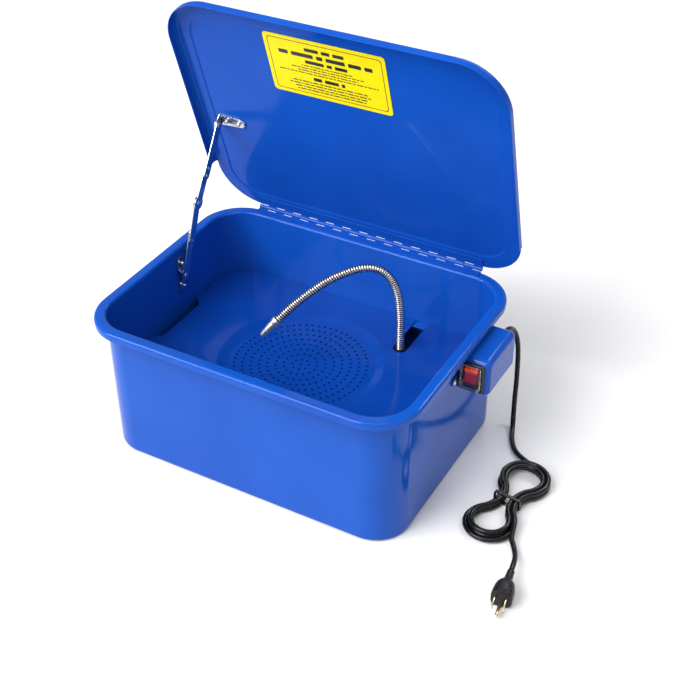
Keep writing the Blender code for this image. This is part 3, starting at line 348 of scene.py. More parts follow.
def clear(name, tint, rough, ior):
    """Clear vinyl with faint haze and ripples."""
    tree = Tree(name)
    paler = tuple(min(1.0, c * 1.04) for c in tint)
    tree.colour(tree.mix(tree.noise(40, 3), tint, paler))
    tree.rough(tree.noise(90, 3), rough * 0.7, rough * 1.3)
    tree.bump(tree.noise(120, 2), 0.1, 0.0003)
    tree.set(Transmission_Weight=1.0, IOR=ior)
    return tree.material


def lens(name):
    """Translucent red, with a painted glowing highlight on its top and painted shade on its lower
    part.
    """
    tree = Tree(name)
    split = tree.add("SeparateXYZ")
    tree.link(tree.coords, split.inputs["Vector"])
    glow_mask = tree.ramp(split.outputs["Z"], *GLOW_TOP_FADE)
    base = tree.mix(tree.noise(120, 3), (0.36, 0.003, 0.012), (0.45, 0.006, 0.018))
    lit = tree.mix(glow_mask, base, (0.85, 0.05, 0.008))
    shade_mask = tree.ramp(split.outputs["Z"], *SHADE_LOW_FADE)
    tree.colour(tree.mix(shade_mask, (0.03, 0.001, 0.002), lit))
    # The emission is painted glow, strongest on the top and none in the painted shade.
    glow = tree.mix(glow_mask, (0.12, 0.0, 0.002), (0.9, 0.06, 0.005))
    dimmed = tree.mix(shade_mask, (0, 0, 0), glow)
    tree.link(dimmed, tree.shader.inputs["Emission Color"])
    tree.rough(tree.noise(200, 3), 0.12, 0.2)
    tree.bump(tree.noise(300, 2), 0.05, 0.0001)
    tree.set(Emission_Strength=0.35, Coat_Weight=0.5, Coat_Roughness=0.08)
    return tree.material


BOX_LOW, BOX_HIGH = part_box("switch_box_cover")
BEZEL_LOW, BEZEL_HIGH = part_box("switch_body")
SWITCH_X = (BEZEL_LOW.x + BEZEL_HIGH.x) / 2
SWITCH_Z = (BEZEL_LOW.z + BEZEL_HIGH.z) / 2
# Heights between which the rocker's painted glowing highlight fades in, and its painted shade
# fades out
GLOW_TOP_FADE = (SWITCH_Z + 5.5 * MM, SWITCH_Z + 8.5 * MM)
SHADE_LOW_FADE = (SWITCH_Z - 7.5 * MM, SWITCH_Z - 5.5 * MM)

BLUE = enamel("blue_enamel", (0.005, 0.066, 0.39), (0.006, 0.079, 0.435), 0.2)
# The tray's copy of the enamel is darker: painted shade.
SHADED_TRAY_BLUE = enamel("tray_enamel_painted_shade", (0.003, 0.046, 0.30), (0.004, 0.056, 0.34), 0.22)
LID_BLUE = enamel("lid_enamel", (0.005, 0.064, 0.39), (0.006, 0.076, 0.44), 0.1)
ZINC = plated("bright_zinc", (0.5, 0.51, 0.53), (0.7, 0.71, 0.72), 0.2, (1, 1, 4))
RIVET_STEEL = plated("rivet_steel", (0.6, 0.6, 0.6), (0.8, 0.8, 0.8), 0.3)
HOSE_STEEL = plated("hose_steel", (0.5, 0.48, 0.45), (0.72, 0.7, 0.66), 0.24)
# Near-black steel for the hose's grooves: painted shade.
HOSE_GROOVE_SHADE = plated("hose_groove_painted_shade", (0.03, 0.028, 0.026), (0.06, 0.056, 0.05), 0.5)
NOZZLE_STEEL = plated("nozzle_steel", (0.7, 0.69, 0.68), (0.85, 0.84, 0.82), 0.38)
RUBBER = moulded("black_rubber", (0.005, 0.005, 0.006), (0.01, 0.01, 0.011), 0.4, 0.12,
                Specular_IOR_Level=0.3)
CORD_BLACK = moulded("cord_vinyl", (0.003, 0.003, 0.004), (0.007, 0.007, 0.008), 0.26, 0.08,
                    900, Specular_IOR_Level=0.3)
PLASTIC = moulded("black_plastic", (0.004, 0.004, 0.005), (0.009, 0.009, 0.01), 0.3, 0.12, 1500)
PUMP_PLASTIC = moulded("pump_plastic", (0.012, 0.012, 0.014), (0.028, 0.028, 0.03), 0.45)
ROTOR_WHITE = moulded("rotor_plastic", (0.6, 0.6, 0.57), (0.72, 0.72, 0.69), 0.38)
VINYL = clear("clear_vinyl", (0.95, 0.96, 0.97), 0.05, 1.3)
RED = lens("red_lens")
YELLOW = moulded("label_yellow", (0.82, 0.66, 0.003), (0.86, 0.70, 0.006), 0.3, 0.02, 3000,
                 Specular_IOR_Level=0.15)
INK = moulded("label_ink", (0.01, 0.01, 0.01), (0.02, 0.02, 0.02), 0.35, 0.06, 3000)
BRASS = plated("plug_brass", (0.72, 0.6, 0.36), (0.85, 0.76, 0.52), 0.22)

# ---- camera

CAMERA_TARGET = Vector((0.05206, 0.02637, 0.12166))
CAMERA_TURN = radians(29.32)
CAMERA_TILT = radians(36.95)
CAMERA_ROLL = radians(-0.44)
CAMERA_DISTANCE = 1.6
CAMERA_LENS = 65.69


def make_camera():
    level = cos(CAMERA_TILT)
    x, y = sin(CAMERA_TURN) * level, -cos(CAMERA_TURN) * level
    back = Vector((x, y, sin(CAMERA_TILT)))
    camera = add_object("camera", bpy.data.cameras.new("camera"))
    camera.data.lens = CAMERA_LENS
    camera.data.sensor_width = 36
    camera.data.clip_end = 50
    camera.location = CAMERA_TARGET + back * CAMERA_DISTANCE
    turn = (-back).to_track_quat("-Z", "Y").to_matrix().to_4x4()
    roll = Matrix.Rotation(CAMERA_ROLL, 4, "Z")
    camera.rotation_euler = (turn @ roll).to_euler()
    bpy.context.scene.camera = camera


make_camera()

# ---- mains cord

CORD_RADIUS = 3.25 * MM
CORD_X = 222 * MM
CORD_Z = 151.5 * MM
DROP_ROUTE = (
    (222, 112.2, 151.5), (222.1, 121.4, 150.8), (222.7, 129.2, 148.4), (223.6, 136, 143.8),
    (224.8, 141.2, 137.4), (226.2, 144.4, 129.9), (227.6, 145.9, 121.8), (228.8, 146.5, 113.7),
    (229.7, 146.5, 105.5), (230.5, 146.4, 93.5), (231.3, 145.3, 78), (231.9, 144.6, 62),
    (232.4, 143.2, 47), (233.4, 140, 33), (235.6, 134.4, 20), (239.2, 125.3, 10),
    (243.8, 113, 4.6), (248.3, 101, 3.3), (254, 90, 3.3), (261.5, 79.5, 3.4),
    (271.5, 71, 4), (286, 63.4, 4.7),
)
TAIL_ROUTE = (
    (321.4, -70, 7.6), (328, -79.5, 5), (334, -89.5, 5.6),
    (338.3, -100, 8.8), (341.3, -111.5, 11.8), (343.2, -122.8, 12.4),
)
HANK_CENTRE = Vector((292 * MM, -15 * MM, 0))
HANK_TURN = radians(-6)
HANK_LOBE = 23 * MM
HANK_WAIST = 6.7 * MM
HANK_SWEEP = 40 * MM
HANK_LANES = (6.4 * MM, -0.2 * MM)
HANK_LAYERS = (4.9 * MM, 11 * MM)
# Turns at which the line starts, ends, moves in, moves out and climbs a layer
HANK_FIRST = 0.2704
HANK_LAST = 3.6157
HANK_INWARD = (1.1, 1.36)
HANK_OUTWARD = (2.95, 3.2)
HANK_CLIMB = (1.95, 2.16)
HANK_POINTS = 72


def hank_point(turns, outset):
    """Point of the tied hank, counted in turns from one side of its waist."""
    spread = acos((HANK_WAIST + HANK_SWEEP) / (HANK_LOBE + HANK_SWEEP))
    lobe_y = (HANK_LOBE + HANK_SWEEP) * sin(spread)
    sweep = HANK_SWEEP * spread
    half = 2 * sweep + HANK_LOBE * (pi + 2 * spread)
    place = turns % 1 * 2
    flip = -1 if place >= 1 else 1
    run = place % 1 * half
    bend = HANK_SWEEP - outset
    centre = HANK_WAIST + HANK_SWEEP
    if run < sweep:
        angle = run / HANK_SWEEP
        x, y = centre - bend * cos(angle), bend * sin(angle)
    elif run > half - sweep:
        angle = (half - run) / HANK_SWEEP
        x, y = bend * cos(angle) - centre, bend * sin(angle)
    else:
        angle = (run - sweep) / HANK_LOBE - spread
        radius = HANK_LOBE + outset
        x, y = radius * cos(angle), lobe_y + radius * sin(angle)
    local = Vector((-x * flip, y * flip, 0))
    return HANK_CENTRE + Matrix.Rotation(HANK_TURN, 3, "Z") @ local


def ease(value, start, end):
    share = min(1.0, max(0.0, (value - start) / (end - start)))
    return share * share * (3 - 2 * share)


def hank_route():
    """An outer turn, an inner one, then a layer on top that ends outside."""
    points = []
    count = round((HANK_LAST - HANK_FIRST) * HANK_POINTS)
    outer, inner = HANK_LANES
    low, high = HANK_LAYERS
    for i in range(count + 1):
        turns = HANK_FIRST + (HANK_LAST - HANK_FIRST) * i / count
        inward = ease(turns, *HANK_INWARD) - ease(turns, *HANK_OUTWARD)
        height = low + (high - low) * ease(turns, *HANK_CLIMB)
        point = hank_point(turns, outer + (inner - outer) * inward)
        points.append(Vector((point.x, point.y, height)))
    return points


def make_cord():
    """One line, down the drop, round the hank and out to the plug."""
    drop = [Vector(p) * MM for p in DROP_ROUTE]
    tail = [Vector(p) * MM for p in TAIL_ROUTE]
    hank = hank_route()
    points = smooth_points(drop + hank[::3] + [hank[-1]] + tail, 3 * MM)
    curve = bpy.data.curves.new("mains_cord", "CURVE")
    curve.dimensions = "3D"
    curve.bevel_depth = CORD_RADIUS
    curve.bevel_resolution = 6
    curve.use_fill_caps = True
    spline = curve.splines.new("POLY")
    spline.points.add(len(points) - 1)
    for knot, point in zip(spline.points, points):
        knot.co = (*point, 1)
    curve.materials.append(CORD_BLACK)
    cord = add_object("mains_cord", curve)
    show(cord, "tank", "black_rubber", "cord_drop", "cord_hank", "cord_tail")
    return cord


mains_cord = make_cord()

# ---- tank

TANK_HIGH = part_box("tank_shell")[1]
TANK_TOP = TANK_HIGH.z
TANK_CORNER = 45.5 * MM
CORNER_STEPS = 24
FLOOR_BEND = 5 * MM
RIM_REACH = 14.5 * MM
RIM_BEND = 2.8 * MM
RIM_ROUND = 4.5 * MM
RIM_LIP = 10 * MM
TANK_HALF_X = TANK_HIGH.x - RIM_REACH
TANK_HALF_Y = TANK_HIGH.y - RIM_REACH
BEND_STEPS = 8
LEAD_HOLE = (TANK_HALF_X, 47 * MM, 147.8 * MM, 4.8)


def tank_ring(outset, height):
    half_x = TANK_HALF_X + outset
    outline = rounded(half_x, TANK_HALF_Y + outset, TANK_CORNER + outset, CORNER_STEPS)
    return across_z(outline, [height])[0]


def make_tank():
    """The drawn tub, with its rim folded out and down."""
    bend_z = TANK_TOP - SHEET - RIM_BEND
    round_out = RIM_REACH - RIM_ROUND
    round_z = TANK_TOP - RIM_ROUND
    lip_z = TANK_TOP - RIM_LIP
    lip_mid = RIM_REACH - SHEET / 2
    profile = arc(-FLOOR_BEND, FLOOR_BEND, FLOOR_BEND, -90, 0, BEND_STEPS)
    profile += arc(RIM_BEND, bend_z, RIM_BEND, 180, 90, BEND_STEPS)
    profile += arc(round_out, round_z, RIM_ROUND - SHEET, 90, 0, BEND_STEPS)
    profile += arc(lip_mid, lip_z + SHEET / 2, SHEET / 2, 180, 360, 6)
    profile += arc(round_out, round_z, RIM_ROUND, 0, 90, BEND_STEPS)
    profile += arc(RIM_BEND, bend_z, RIM_BEND + SHEET, 90, 180, BEND_STEPS)
    profile += arc(-FLOOR_BEND, FLOOR_BEND, FLOOR_BEND - SHEET, 0, -90, BEND_STEPS)
    tank = lofted("tank_tub", [tank_ring(*point) for point in profile], BLUE, 50)
    drill(tank, [LEAD_HOLE], RIGHT)
    flatten(tank)
    show(tank, "tank", "blue_enamel", "tank_shell")


# ---- tray

TRAY_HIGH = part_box("parts_tray")[1]
TRAY_TOP = TRAY_HIGH.z
TRAY_CORNER = TANK_CORNER - SHEET - 1 * MM
DISH_MIDDLE = (-5 * MM, 0)
DISH_FLOOR = 93 * MM
DISH_RIM = 108 * MM
DISH_DEPTH = 4 * MM
DISH_SOFT = 0.2
DISH_STEPS = 10
HOLE_RINGS = 8
HOLES_A_RING = 8
RING_TWIST = 0.35
HOLE_PITCH = 10.6 * MM
HOLE_RADIUS = 1.6 * MM
HOSE_NOTCH = 9.2 * MM
NOTCH_MIDDLE = 4 * MM
NOTCH_HALF = 54 * MM
NOTCH_FLAT = 40 * MM
NOTCH_INNER = TANK_HALF_X - SHEET - 14 * MM


def dish_slope(drop, spread):
    """Soft S from the dish's floor out to the tray's top, as (radius, height)."""
    points = []
    for i in range(DISH_STEPS + 1):
        share = i / DISH_STEPS
        if share < DISH_SOFT:
            rise = share * share / (2 * DISH_SOFT * (1 - DISH_SOFT))
        elif share > 1 - DISH_SOFT:
            rise = 1 - (1 - share) ** 2 / (2 * DISH_SOFT * (1 - DISH_SOFT))
        else:
            rise = (share - DISH_SOFT / 2) / (1 - DISH_SOFT)
        radius = DISH_FLOOR + (DISH_RIM - DISH_FLOOR) * share + spread
        points.append((radius / MM, (rise * DISH_DEPTH - DISH_DEPTH - drop) / MM))
    return points


def drain_holes():
    """Rings of small holes about the middle of the dish."""
    places = [DISH_MIDDLE]
    for ring in range(1, HOLE_RINGS + 1):
        for i in range(HOLES_A_RING * ring):
            angle = 2 * pi * (i / (HOLES_A_RING * ring)) + RING_TWIST * ring
            x = DISH_MIDDLE[0] + ring * HOLE_PITCH * cos(angle)
            places.append((x, DISH_MIDDLE[1] + ring * HOLE_PITCH * sin(angle)))
    bm = bmesh.new()
    for x, y in places:
        hole = [(x + u, y + v) for u, v in circle(HOLE_RADIUS, 12)]
        loft(bm, across_z(hole, (TRAY_TOP - 12 * MM, TRAY_TOP + 3 * MM)))
    return make("drain_holes", bm, BLUE)


def make_tray():
    """The lift-out tray, with its drilled dish and three notches."""
    flat = rounded(TRAY_HIGH.x, TRAY_HIGH.y, TRAY_CORNER, CORNER_STEPS)
    tray = upright(flat, TRAY_TOP - SHEET, TRAY_TOP)
    tray.name = "drilled_tray"
    # The tray takes the darker copy of the enamel, painted shade.
    tray.data.materials[0] = SHADED_TRAY_BLUE
    at = Vector((*DISH_MIDDLE, TRAY_TOP))
    under = dish_slope(SHEET, 0.4 * MM)[:-1]
    under.append((DISH_RIM / MM + 0.6, -SHEET / 2 / MM))
    cut(tray, turned("dish_under", under, at, UP, SHADED_TRAY_BLUE, 96), "UNION")
    inside = dish_slope(0, 0) + [(DISH_RIM / MM, 2)]
    cut(tray, turned("dish_inside", inside, at, UP, SHADED_TRAY_BLUE, 96))
    cut(tray, drain_holes())
    low = TRAY_TOP - 5 * MM
    high = TRAY_TOP + 5 * MM
    for side in (-1, 1):
        notch = [(side * TANK_HALF_X, NOTCH_MIDDLE - NOTCH_HALF),
                 (side * NOTCH_INNER, NOTCH_MIDDLE - NOTCH_FLAT),
                 (side * NOTCH_INNER, NOTCH_MIDDLE + NOTCH_FLAT),
                 (side * TANK_HALF_X, NOTCH_MIDDLE + NOTCH_HALF)]
        cut(tray, upright(notch, low, high))
    slot = [(HOSE_X + HOSE_NOTCH, TANK_HALF_Y), (HOSE_X - HOSE_NOTCH, TANK_HALF_Y)]
    slot += arc(HOSE_X, HOSE_Y, HOSE_NOTCH, 180, 360, 32)
    cut(tray, upright(slot, low, high))
    resmooth(tray, 40)
    flatten(tray)
    show(tray, "tray", "blue_enamel", "parts_tray")


# ---- lid and hinge

HINGE = Vector(next(j["pos_m"] for j in frame["joints"] if j["name"] == "lid_hinge"))
LID_OPEN = radians(73)
ON_HINGE = Matrix.Translation((0, HINGE.y, HINGE.z))
ON_LID = ON_HINGE @ Matrix.Rotation(-LID_OPEN, 4, "X")
LID_HALF_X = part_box("lid_panel")[1].x
LID_REACH = 339 * MM
LID_BACK = 2 * MM
LID_CORNER = 62 * MM
LID_TOP = 4.3 * MM
LID_DEPTH = 14 * MM
LID_BEND = 8 * MM
LID_LIP_START = 66 * MM
EMBOSS_INSET = 22 * MM
EMBOSS_SLOPE = 3 * MM
EMBOSS_RISE = 1 * MM
EMBOSS_STEPS = 6
LID_RIVET = 148 * MM
LID_RIVETS_X = (-181 * MM, -163 * MM)
KNUCKLE_COUNT = 26
HINGE_HALF = 165 * MM
KNUCKLE = 2.8 * MM
LEAF_THICK = 1.1 * MM
TANK_LEAF = 13 * MM
LID_LEAF = 16 * MM
HINGE_BORE = 1.3
GAP = 0.3 * MM


def lid_ring(inset, height):
    half_y = (LID_REACH + LID_BACK) / 2
    middle = LID_BACK - half_y
    outline = rounded(LID_HALF_X - inset, half_y - inset, LID_CORNER - inset, CORNER_STEPS)
    return [Vector((x, y + middle, height)) for x, y in outline]


def emboss(start, end, base):
    """Soft step up to the lid's raised middle, as (inset, height)."""
    rings = []
    for i in range(EMBOSS_STEPS + 1):
        share = start + (end - start) * i / EMBOSS_STEPS
        rise = share * share * (3 - 2 * share)
        rings.append((EMBOSS_INSET + EMBOSS_SLOPE * share, base + EMBOSS_RISE * rise))
    return rings


def make_lid():
    """The pressed pan, whose lip stops short of the hinge corners."""
    under = LID_TOP - SHEET
    bend_z = LID_TOP - LID_BEND
    lip_z = LID_TOP - LID_DEPTH + SHEET / 2
    rings = emboss(1, 0, LID_TOP)
    outer = arc(-LID_BEND, bend_z, LID_BEND, 90, 0, 10)
    outer += arc(-SHEET / 2, lip_z, SHEET / 2, 0, -180, 6)
    outer += arc(-LID_BEND, bend_z, LID_BEND - SHEET, 0, 90, 10)
    rings += [(-out, height) for out, height in outer]
    rings += emboss(0, 1, under)
    lid = lofted("lid_pan", [lid_ring(*ring) for ring in rings], LID_BLUE, 50)
    far = LID_HALF_X + 10 * MM
    ends = [(-far, -LID_LIP_START), (far, -LID_LIP_START), (far, 20 * MM), (-far, 20 * MM)]
    cut(lid, upright(ends, -20 * MM, under))
    drill(lid, [(x, -LID_RIVET, 0, 1.9) for x in LID_RIVETS_X], UP)
    flatten(move(lid, ON_LID))
    show(lid, "lid", "blue_enamel", "lid_panel")


def knuckle_outline(side, steps=22):
    """Curled edge of a hinge leaf, as (y, z) about the hinge axis."""
    near = KNUCKLE - LEAF_THICK
    start = pi - asin(near / KNUCKLE)
    reach = KNUCKLE + 0.8 * MM
    points = [(-reach, side * KNUCKLE), (-reach, side * near)]
    for i in range(steps):
        angle = start + (2.5 * pi - start) * i / (steps - 1)
        y = KNUCKLE * cos(angle)
        points.append((y, side * KNUCKLE * sin(angle)))
    return points


def make_leaf(name, node, side, first, width, body, place):
    """One leaf of the piano hinge, with every second knuckle."""
    near = KNUCKLE - LEAF_THICK
    edge = -KNUCKLE - 0.4 * MM
    flat = [(-HINGE_HALF, -width), (HINGE_HALF, -width), (HINGE_HALF, edge), (-HINGE_HALF, edge)]
    leaf = upright(flat, *sorted((side * near, side * KNUCKLE)))
    leaf.name = name
    pitch = 2 * HINGE_HALF / KNUCKLE_COUNT
    bm = bmesh.new()
    for i in range(first, KNUCKLE_COUNT, 2):
        start = -HINGE_HALF + i * pitch + GAP / 2
        loft(bm, across_x(knuckle_outline(side), (start, start + pitch - GAP)))
    cut(leaf, make("curls", bm, BLUE), "UNION")
    drill(leaf, [(0, 0, 0, HINGE_BORE)], RIGHT, 170, 16)
    bevel(move(leaf, place), 0.15 * MM, 2, 50)
    show(leaf, body, "blue_enamel", node)


def make_hinge():
    make_leaf("hinge_lower_leaf", "hinge_leaf_tank", -1, 0, TANK_LEAF, "tank", ON_HINGE)
    make_leaf("hinge_upper_leaf", "hinge_leaf_lid", 1, 1, LID_LEAF, "lid", ON_LID)
    length = 2 * HINGE_HALF / MM
    wire = ((0.7, 0), (1, 0.3), (1, length - 0.3), (0.7, length))
    pin = turned("hinge_wire", wire, HINGE - Vector((HINGE_HALF, 0, 0)), RIGHT, ZINC, 24)
    show(pin, "tank", "zinc", "hinge_pin")


LABEL_MIDDLE = Vector((-12 * MM, -268 * MM))
LABEL_HALF = Vector((80 * MM, 43 * MM))
LABEL_CORNER = 5 * MM
LABEL_THICK = 0.3 * MM
INK_THICK = 0.04 * MM
BORDER_INSETS = (5 * MM, 5.9 * MM)
# Rows of dashes: distance from the label's middle, height and half width, in mm
LABEL_ROWS = (
    (28.5, 5, 26), (19.5, 5.6, 62), (10.5, 4.8, 28), (4.4, 1.5, 34),
    (0.6, 1.5, 48), (-3.2, 1.5, 40), (-7, 1.5, 66), (-14, 5, 21),
    (-20.2, 1.7, 50), (-24.4, 1.7, 55), (-28.6, 1.7, 48), (-32.6, 1.7, 46),
)
DASHES = (5, 3, 7, 2, 6, 4, 8, 3)


def label_sheet(name, outlines, low, high, material):
    bm = bmesh.new()
    for outline in outlines:
        loft(bm, across_z(outline, (low, high)))
    return move(make(name, bm, material), ON_LID)


def label_outline(inset):
    half = LABEL_HALF - Vector((inset, inset))
    flat = rounded(half.x, half.y, max(LABEL_CORNER - inset * 0.2, MM), 8)
    return [(LABEL_MIDDLE.x + x, LABEL_MIDDLE.y + y) for x, y in flat]


def dash_outlines():
    """Plain dashes in rows, in place of lines of words."""
    outlines = []
    for number, (across, height, half) in enumerate(LABEL_ROWS):
        unit = height * 0.75
        x = -half
        step = number
        while x < half - unit:
            width = min(DASHES[step % len(DASHES)] * unit, half - x)
            middle_x = LABEL_MIDDLE.x + (x + width / 2) * MM
            middle_y = LABEL_MIDDLE.y - across * MM
            flat = rounded(width / 2 * MM, height / 2 * MM, height * 0.2 * MM, 3)
            outlines.append([(middle_x + u, middle_y + v) for u, v in flat])
            x += width + unit
            step += 1
    return outlines


def make_label():
    """Plain yellow sticker with a printed border and generic dashes."""
    under = LID_TOP - SHEET + EMBOSS_RISE - GAP
    low = under - LABEL_THICK
    sheet = label_sheet("sticker", [label_outline(0)], low, under, YELLOW)
    show(sheet, "lid", "yellow_label", "lid_label")
    ink_low = low - INK_THICK
    outer, inner = (label_outline(inset) for inset in BORDER_INSETS)
    rings = across_z(outer, (low, ink_low)) + across_z(inner, (ink_low, low))
    border = move(lofted("sticker_border", rings, INK, endless=True), ON_LID)
    show(border, "lid", "yellow_label")
    show(label_sheet("sticker_dashes", dash_outlines(), ink_low, low, INK), "lid", "yellow_label")


# ---- lid stay

STAY_LOW = Vector((0, 29 * MM, 154 * MM))
STAY_TOP_ALONG = 144 * MM
STAY_TOP_DROP = 5.5 * MM
LOWER_ARM = 98.4 * MM
UPPER_ARM = 102.6 * MM
STRIP_HALF = 6.2 * MM
STRIP_THICK = 1.5 * MM
STRIP_STEPS = 28
ELBOW_LOBE = 9 * MM
PLANE_STEP = 1.8 * MM
PLANE_0 = -196.8 * MM
ARM_RIVET = 48.5 * MM
LINK_RIVETS = (36.5 * MM, 46.5 * MM)
PIN_HOLE = 2.3
RIVET_HOLE = 1.9


def plane_x(number):
    return PLANE_0 + number * PLANE_STEP


def stay_points():
    """The stay's low pivot, elbow and top pivot, with the lid open."""
    top = ON_LID @ Vector((0, -STAY_TOP_ALONG, -STAY_TOP_DROP))
    span = top - STAY_LOW
    reach = span.length
    near = (LOWER_ARM**2 - UPPER_ARM**2 + reach**2) / (2 * reach)
    rise = sqrt(max(LOWER_ARM**2 - near**2, 0))
    run = span / reach
    return STAY_LOW, STAY_LOW + run * near + Vector((0, -run.z, run.y)) * rise, top


def end_arc(middle, radius, facing):
    """Round end of a strip, from one of its long edges to the other."""
    back = asin(min(1.0, STRIP_HALF / radius))
    points = []
    for i in range(STRIP_STEPS + 1):
        angle = -(pi - back) + 2 * (pi - back) * i / STRIP_STEPS
        u = -radius * sin(angle) * facing
        points.append((u, middle + facing * radius * cos(angle)))
    return points


def make_strip(node, body, start, end, low, high, radii, holes, plane):
    """One flat strip of the stay, with its sheared edges rounded over."""
    outline = end_arc(high, radii[1], 1) + end_arc(low, radii[0], -1)
    rings = across_x(outline, (0, STRIP_THICK))
    piece = lofted(node.replace("stay", "stay_flat"), rings, ZINC)
    for along, radius in holes:
        drill(piece, [(0, 0, along, radius)], RIGHT, 4)
    line = end - start
    tilt = atan2(line.z, line.y) - pi / 2
    place = Matrix.Translation((plane_x(plane), start.y, start.z))
    move(piece, place @ Matrix.Rotation(tilt, 4, "X"))
    bevel(piece, 0.35 * MM, 3, 50)
    show(piece, body, "zinc", node)


def make_strips(low, elbow, top):
    half = STRIP_HALF
    arm = (ARM_RIVET, RIVET_HOLE)
    links = [(link, RIVET_HOLE) for link in LINK_RIVETS]
    # Arm, layer, ends, centres and radii of its round ends, and holes
    rows = (
        ("lower", "bottom", low, elbow, 0, 57 * MM, (half, half), ((0, PIN_HOLE), arm)),
        ("lower", "top", low, elbow, 48 * MM, LOWER_ARM, (half, ELBOW_LOBE),
         (arm, (LOWER_ARM, PIN_HOLE))),
        ("upper", "bottom", elbow, top, 0, 46 * MM, (ELBOW_LOBE, half),
         ((0, PIN_HOLE), *links)),
        ("upper", "top", elbow, top, 37 * MM, UPPER_ARM, (half, half),
         ((UPPER_ARM, PIN_HOLE), *links)),
    )
    for plane, (arm, layer, *shape) in enumerate(rows):
        make_strip(f"stay_{arm}_strip_{layer}", f"stay_{arm}", *shape, plane)


def domed(radius, height, rise, steps=6):
    """Dome of a head from its rim to its top, as (radius, height)."""
    points = []
    for i in range(steps):
        angle = pi / 2 * i / steps
        points.append((radius * cos(angle), height + rise * sin(angle)))
    return points


def reverse_dome(radius, height, rise, steps=6):
    return [(r, 2 * height - h) for r, h in reversed(domed(radius, height, rise, steps))]


def make_rivet(node, body, profile, at, direction=RIGHT):
    name = node.replace("rivet", "stud")
    show(turned(name, profile, at, direction, RIVET_STEEL, 40), body, "zinc", node)


def make_rivets(low, elbow, top):
    """The rivets; the elbow's is in two halves, one on each arm."""
    link_rivet = [(1.6, 0), (1.6, 3.5), (2.6, 3.6), *domed(2.6, 3.7, 0.9)]
    # Node, body, ends of its arm, place along it, plane, offset in mm and profile
    rows = (
        ("stay_low_pivot_rivet", "stay_lower", low, elbow, 0, 0, -3.3,
         [(2.4, 0), (3, 0.2), (3, 0.9), (2, 1), (2, 5.1), (4, 5.2), *domed(4, 5.3, 1)]),
        ("stay_lower_arm_rivet", "stay_lower", low, elbow, ARM_RIVET, 0, -1.6,
         [*reverse_dome(2.6, 1, 0.9), (2.6, 1.2), (1.6, 1.3), (1.6, 4.9), (1.2, 5.2)]),
        ("elbow_rivet_head", "stay_lower", low, elbow, LOWER_ARM, 1, -1.4,
         [*reverse_dome(3.2, 0.5, 0.5), (3.2, 0.8), (2, 1.1), (2, 2.9)]),
        ("elbow_rivet_tail", "stay_upper", low, elbow, LOWER_ARM, 2, 0,
         [(2, 0), (2, 1.7), (3.6, 1.8), *domed(3.6, 1.9, 1)]),
        ("fusible_link_rivet_1", "stay_upper", elbow, top, LINK_RIVETS[0], 2, 0.1, link_rivet),
        ("fusible_link_rivet_2", "stay_upper", elbow, top, LINK_RIVETS[1], 2, 0.1, link_rivet),
        ("stay_top_pivot_rivet", "stay_upper", elbow, top, UPPER_ARM, 2, -1.4,
         [(2.4, 0), (3, 0.2), (3, 1), (2, 1.1), (2, 5), (4, 5.1), *domed(4, 5.2, 1)]),
    )
    for node, body, start, end, along, plane, offset, profile in rows:
        at = start + (end - start).normalized() * along
        at.x = plane_x(plane) + offset * MM
        make_rivet(node, body, profile, at)


BLIND_RIVET = [
    *reverse_dome(3.6, 0.7, 0.7), (3.6, 0.9), (1.6, 1.2), (1.6, 4.9), (2.4, 5.2),
    (2.6, 6.2), (2.5, 8.4), (2.1, 9.1), (1.1, 9.4), (1.1, 9.6),
]


def make_stay():
    low, elbow, top = stay_points()
    make_strips(low, elbow, top)
    make_rivets(low, elbow, top)
    for i, height in enumerate((STAY_LOW.z - 17.5 * MM, STAY_LOW.z + 17.5 * MM)):
        at = (-TANK_HALF_X - 1.5 * MM, STAY_LOW.y, height)
        make_rivet(f"tank_bracket_rivet_{i + 1}", "tank", BLIND_RIVET, at)
    for i, x in enumerate(LID_RIVETS_X):
        at = ON_LID @ Vector((x, -LID_RIVET, LID_TOP + EMBOSS_RISE + 1.5 * MM))
        down = ON_LID.to_3x3() @ Vector((0, 0, -1))
        make_rivet(f"lid_bracket_rivet_{i + 1}", "lid", BLIND_RIVET, at, down)
    refine("stay_bracket_tank", "tank_bracket_strap", ZINC, "tank", "zinc", 0.4 * MM)
    refine("stay_bracket_lid", "lid_bracket_angle", ZINC, "lid", "zinc", 0.4 * MM)


def refine(node, name, material, body, slot, width):
    """Replace a CAD piece by a copy with its edges rounded over."""
    bm = bmesh.new()
    bm.from_mesh(frame["nodes"][node].data)
    bmesh.ops.remove_doubles(bm, verts=bm.verts, dist=0.00001)
    bmesh.ops.dissolve_limit(bm, angle_limit=radians(1), verts=bm.verts, edges=bm.edges)
    if width:
        limit = radians(40)
        hard = [e for e in bm.edges if e.is_manifold and e.calc_face_angle() > limit]
        bmesh.ops.bevel(bm, geom=hard, offset=width, segments=3, profile=0.5,
                        affect="EDGES", clamp_overlap=True)
    show(make(name, bm, material, 50), body, slot, node)


# ---- spout

HOSE_HEADING = radians(-141.9)
HOSE_RADIUS = 5.4
RIB_PITCH = 3.1 * MM
RIB_STEPS = 8
HOSE_SIDES = 32
RIB_DEPTH = 1.1
HOSE_ROUTE = (
    (0, 93.5), (0, 104), (0, 114), (0, 124), (0.2, 145), (1.4, 164),
    (4, 183), (9.6, 201), (18.2, 215), (28.6, 223.6), (41, 227.6), (55, 227),
    (69.5, 223.2), (84, 217.6), (98, 210), (112.5, 200.2), (127, 189), (141.5, 176.3),
    (154.5, 163.5),
)
NOZZLE_END = (177.4, 140)


def arch_point(reach, height):
    x = HOSE_X + reach * MM * cos(HOSE_HEADING)
    y = HOSE_Y + reach * MM * sin(HOSE_HEADING)
    return Vector((x, y, height * MM))


